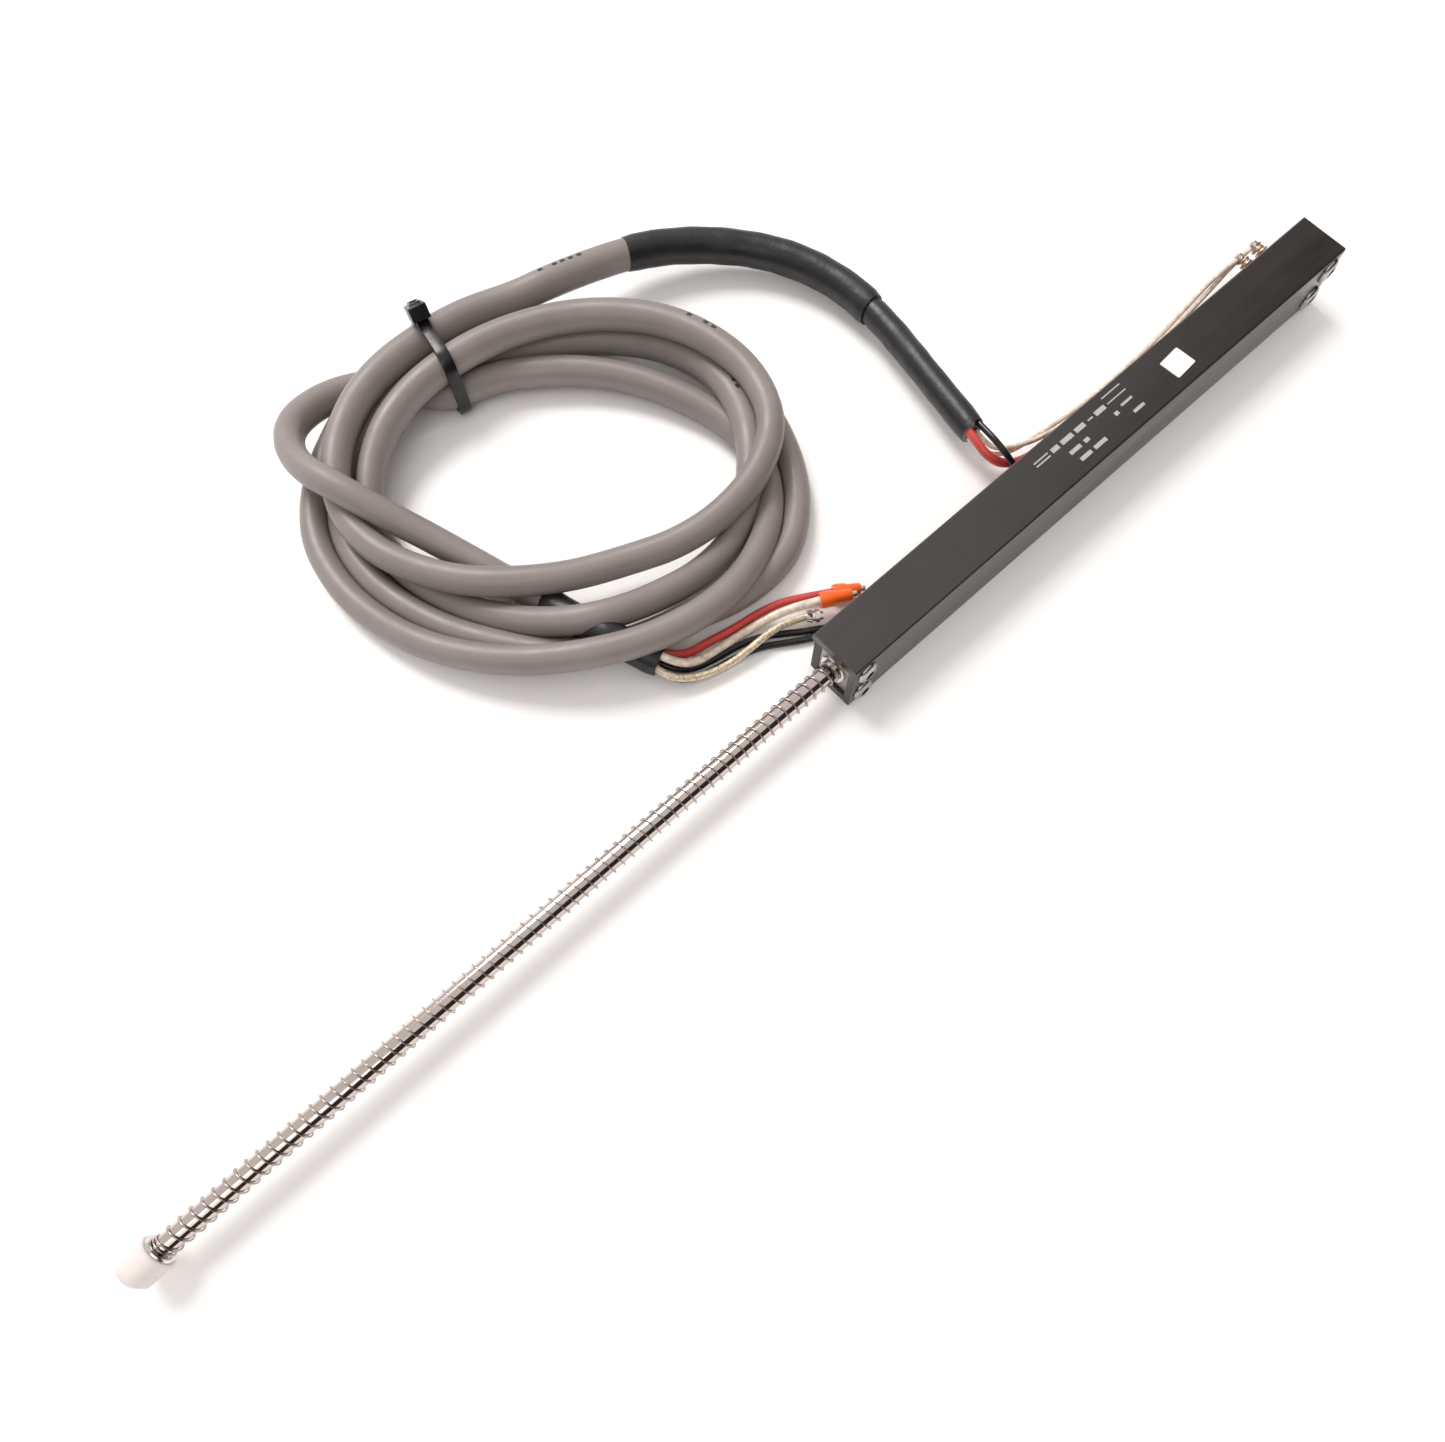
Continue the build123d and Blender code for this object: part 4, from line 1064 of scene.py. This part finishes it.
class SENSOR_OT_cord_facts(bpy.types.Operator):
    """Work out the length of the cable's line and of each wire's and lead's line"""

    bl_idname = "sensor.cord_facts"
    bl_label = "Cord facts"

    def execute(self, context):
        cable, points, diameter = CORDS["cable"]
        length_of(line_of(points))
        for name in WIRES:
            wire, points, diameter = CORDS[name]
            length_of(line_of(points))
        for name in LEADS:
            wire, points, diameter = CORDS[name]
            length_of(line_of(points))
        return {"FINISHED"}


class SENSOR_OT_stage(bpy.types.Operator):
    """Set a pale floor, soft studio light and a dark wall for reflections"""

    bl_idname = "sensor.stage"
    bl_label = "Studio"

    def execute(self, context):
        light = context.scene.sensor_light
        deselect()
        bpy.ops.mesh.primitive_plane_add(size=FLOOR_SIZE, location=(0, 0, 0))
        floor = context.object
        floor.name = "floor"
        dress(floor, finish("floor"))
        bpy.ops.mesh.primitive_cylinder_add(
            vertices=64, radius=WALL_RADIUS, depth=WALL_HEIGHT, end_fill_type="NOTHING",
            location=(0, 0, WALL_HEIGHT / 2))
        wall = context.object
        wall.name = "dark_wall"
        bpy.ops.object.mode_set(mode="EDIT")
        bpy.ops.mesh.select_mode(type="FACE")
        bpy.ops.mesh.select_all(action="DESELECT")
        bpy.ops.object.mode_set(mode="OBJECT")
        for face in wall.data.polygons:
            face.select = face.center.y < WALL_FROM_Y
        bpy.ops.object.mode_set(mode="EDIT")
        bpy.ops.mesh.delete(type="FACE")
        bpy.ops.object.mode_set(mode="OBJECT")
        dress(wall, finish("dark_wall"))
        wall.visible_camera = False
        wall.visible_diffuse = False
        wall.visible_shadow = False
        wall.visible_transmission = False
        world = bpy.data.worlds.new("surroundings")
        world.use_nodes = True
        background = world.node_tree.nodes["Background"]
        background.inputs["Color"].default_value = SKY_COLOUR
        background.inputs["Strength"].default_value = light.sky
        context.scene.world = world
        for name, (place, size) in LAMPS.items():
            data = bpy.data.lights.new(name, "AREA")
            data.shape = "DISK"
            data.size = size
            data.energy = getattr(light, name)
            data.color = LIGHT_COLOUR
            lamp = bpy.data.objects.new(name, data)
            context.scene.collection.objects.link(lamp)
            lamp.location = place
            away = Vector(place) - Vector(LIT_MIDDLE)
            lamp.rotation_euler = away.to_track_quat("Z", "Y").to_euler()
        context.scene.view_settings.view_transform = "Standard"
        return {"FINISHED"}


STEPS = [
    SENSOR_OT_camera, SENSOR_OT_cable, SENSOR_OT_wires, SENSOR_OT_sleeves, SENSOR_OT_tie,
    SENSOR_OT_terminals, SENSOR_OT_joints, SENSOR_OT_spring, SENSOR_OT_screws, SENSOR_OT_marks,
    SENSOR_OT_frame_parts, SENSOR_OT_cord_facts, SENSOR_OT_stage,
]


class SENSOR_PT_panel(bpy.types.Panel):
    """Lists the building steps and the sizes"""

    bl_idname = "SENSOR_PT_panel"
    bl_label = "Linear Position Sensor"
    bl_space_type = "VIEW_3D"
    bl_region_type = "UI"
    bl_category = "Sensor"

    def draw(self, context):
        column = self.layout.column(align=True)
        for step in STEPS:
            column.operator(step.bl_idname)
        for group in GROUPS:
            settings = getattr(context.scene, group)
            box = self.layout.box()
            for name in settings.bl_rna.properties.keys():
                if name not in ("rna_type", "name"):
                    box.prop(settings, name)


GROUPS = {
    "sensor_look": SensorLook, "sensor_cable": CableSizes, "sensor_spring": SpringSizes,
    "sensor_light": StageLight,
}


def register():
    for cls in (*GROUPS.values(), *STEPS, SENSOR_PT_panel):
        bpy.utils.register_class(cls)
    for name, cls in GROUPS.items():
        setattr(bpy.types.Scene, name, PointerProperty(type=cls))


def unregister():
    for name in GROUPS:
        delattr(bpy.types.Scene, name)
    for cls in (SENSOR_PT_panel, *reversed(STEPS), *reversed(list(GROUPS.values()))):
        bpy.utils.unregister_class(cls)


def main():
    register()
    make_finishes(bpy.context.scene.sensor_look)
    for step in STEPS:
        group, name = step.bl_idname.split(".")
        getattr(getattr(bpy.ops, group), name)()


if __name__ == "__main__":
    main()
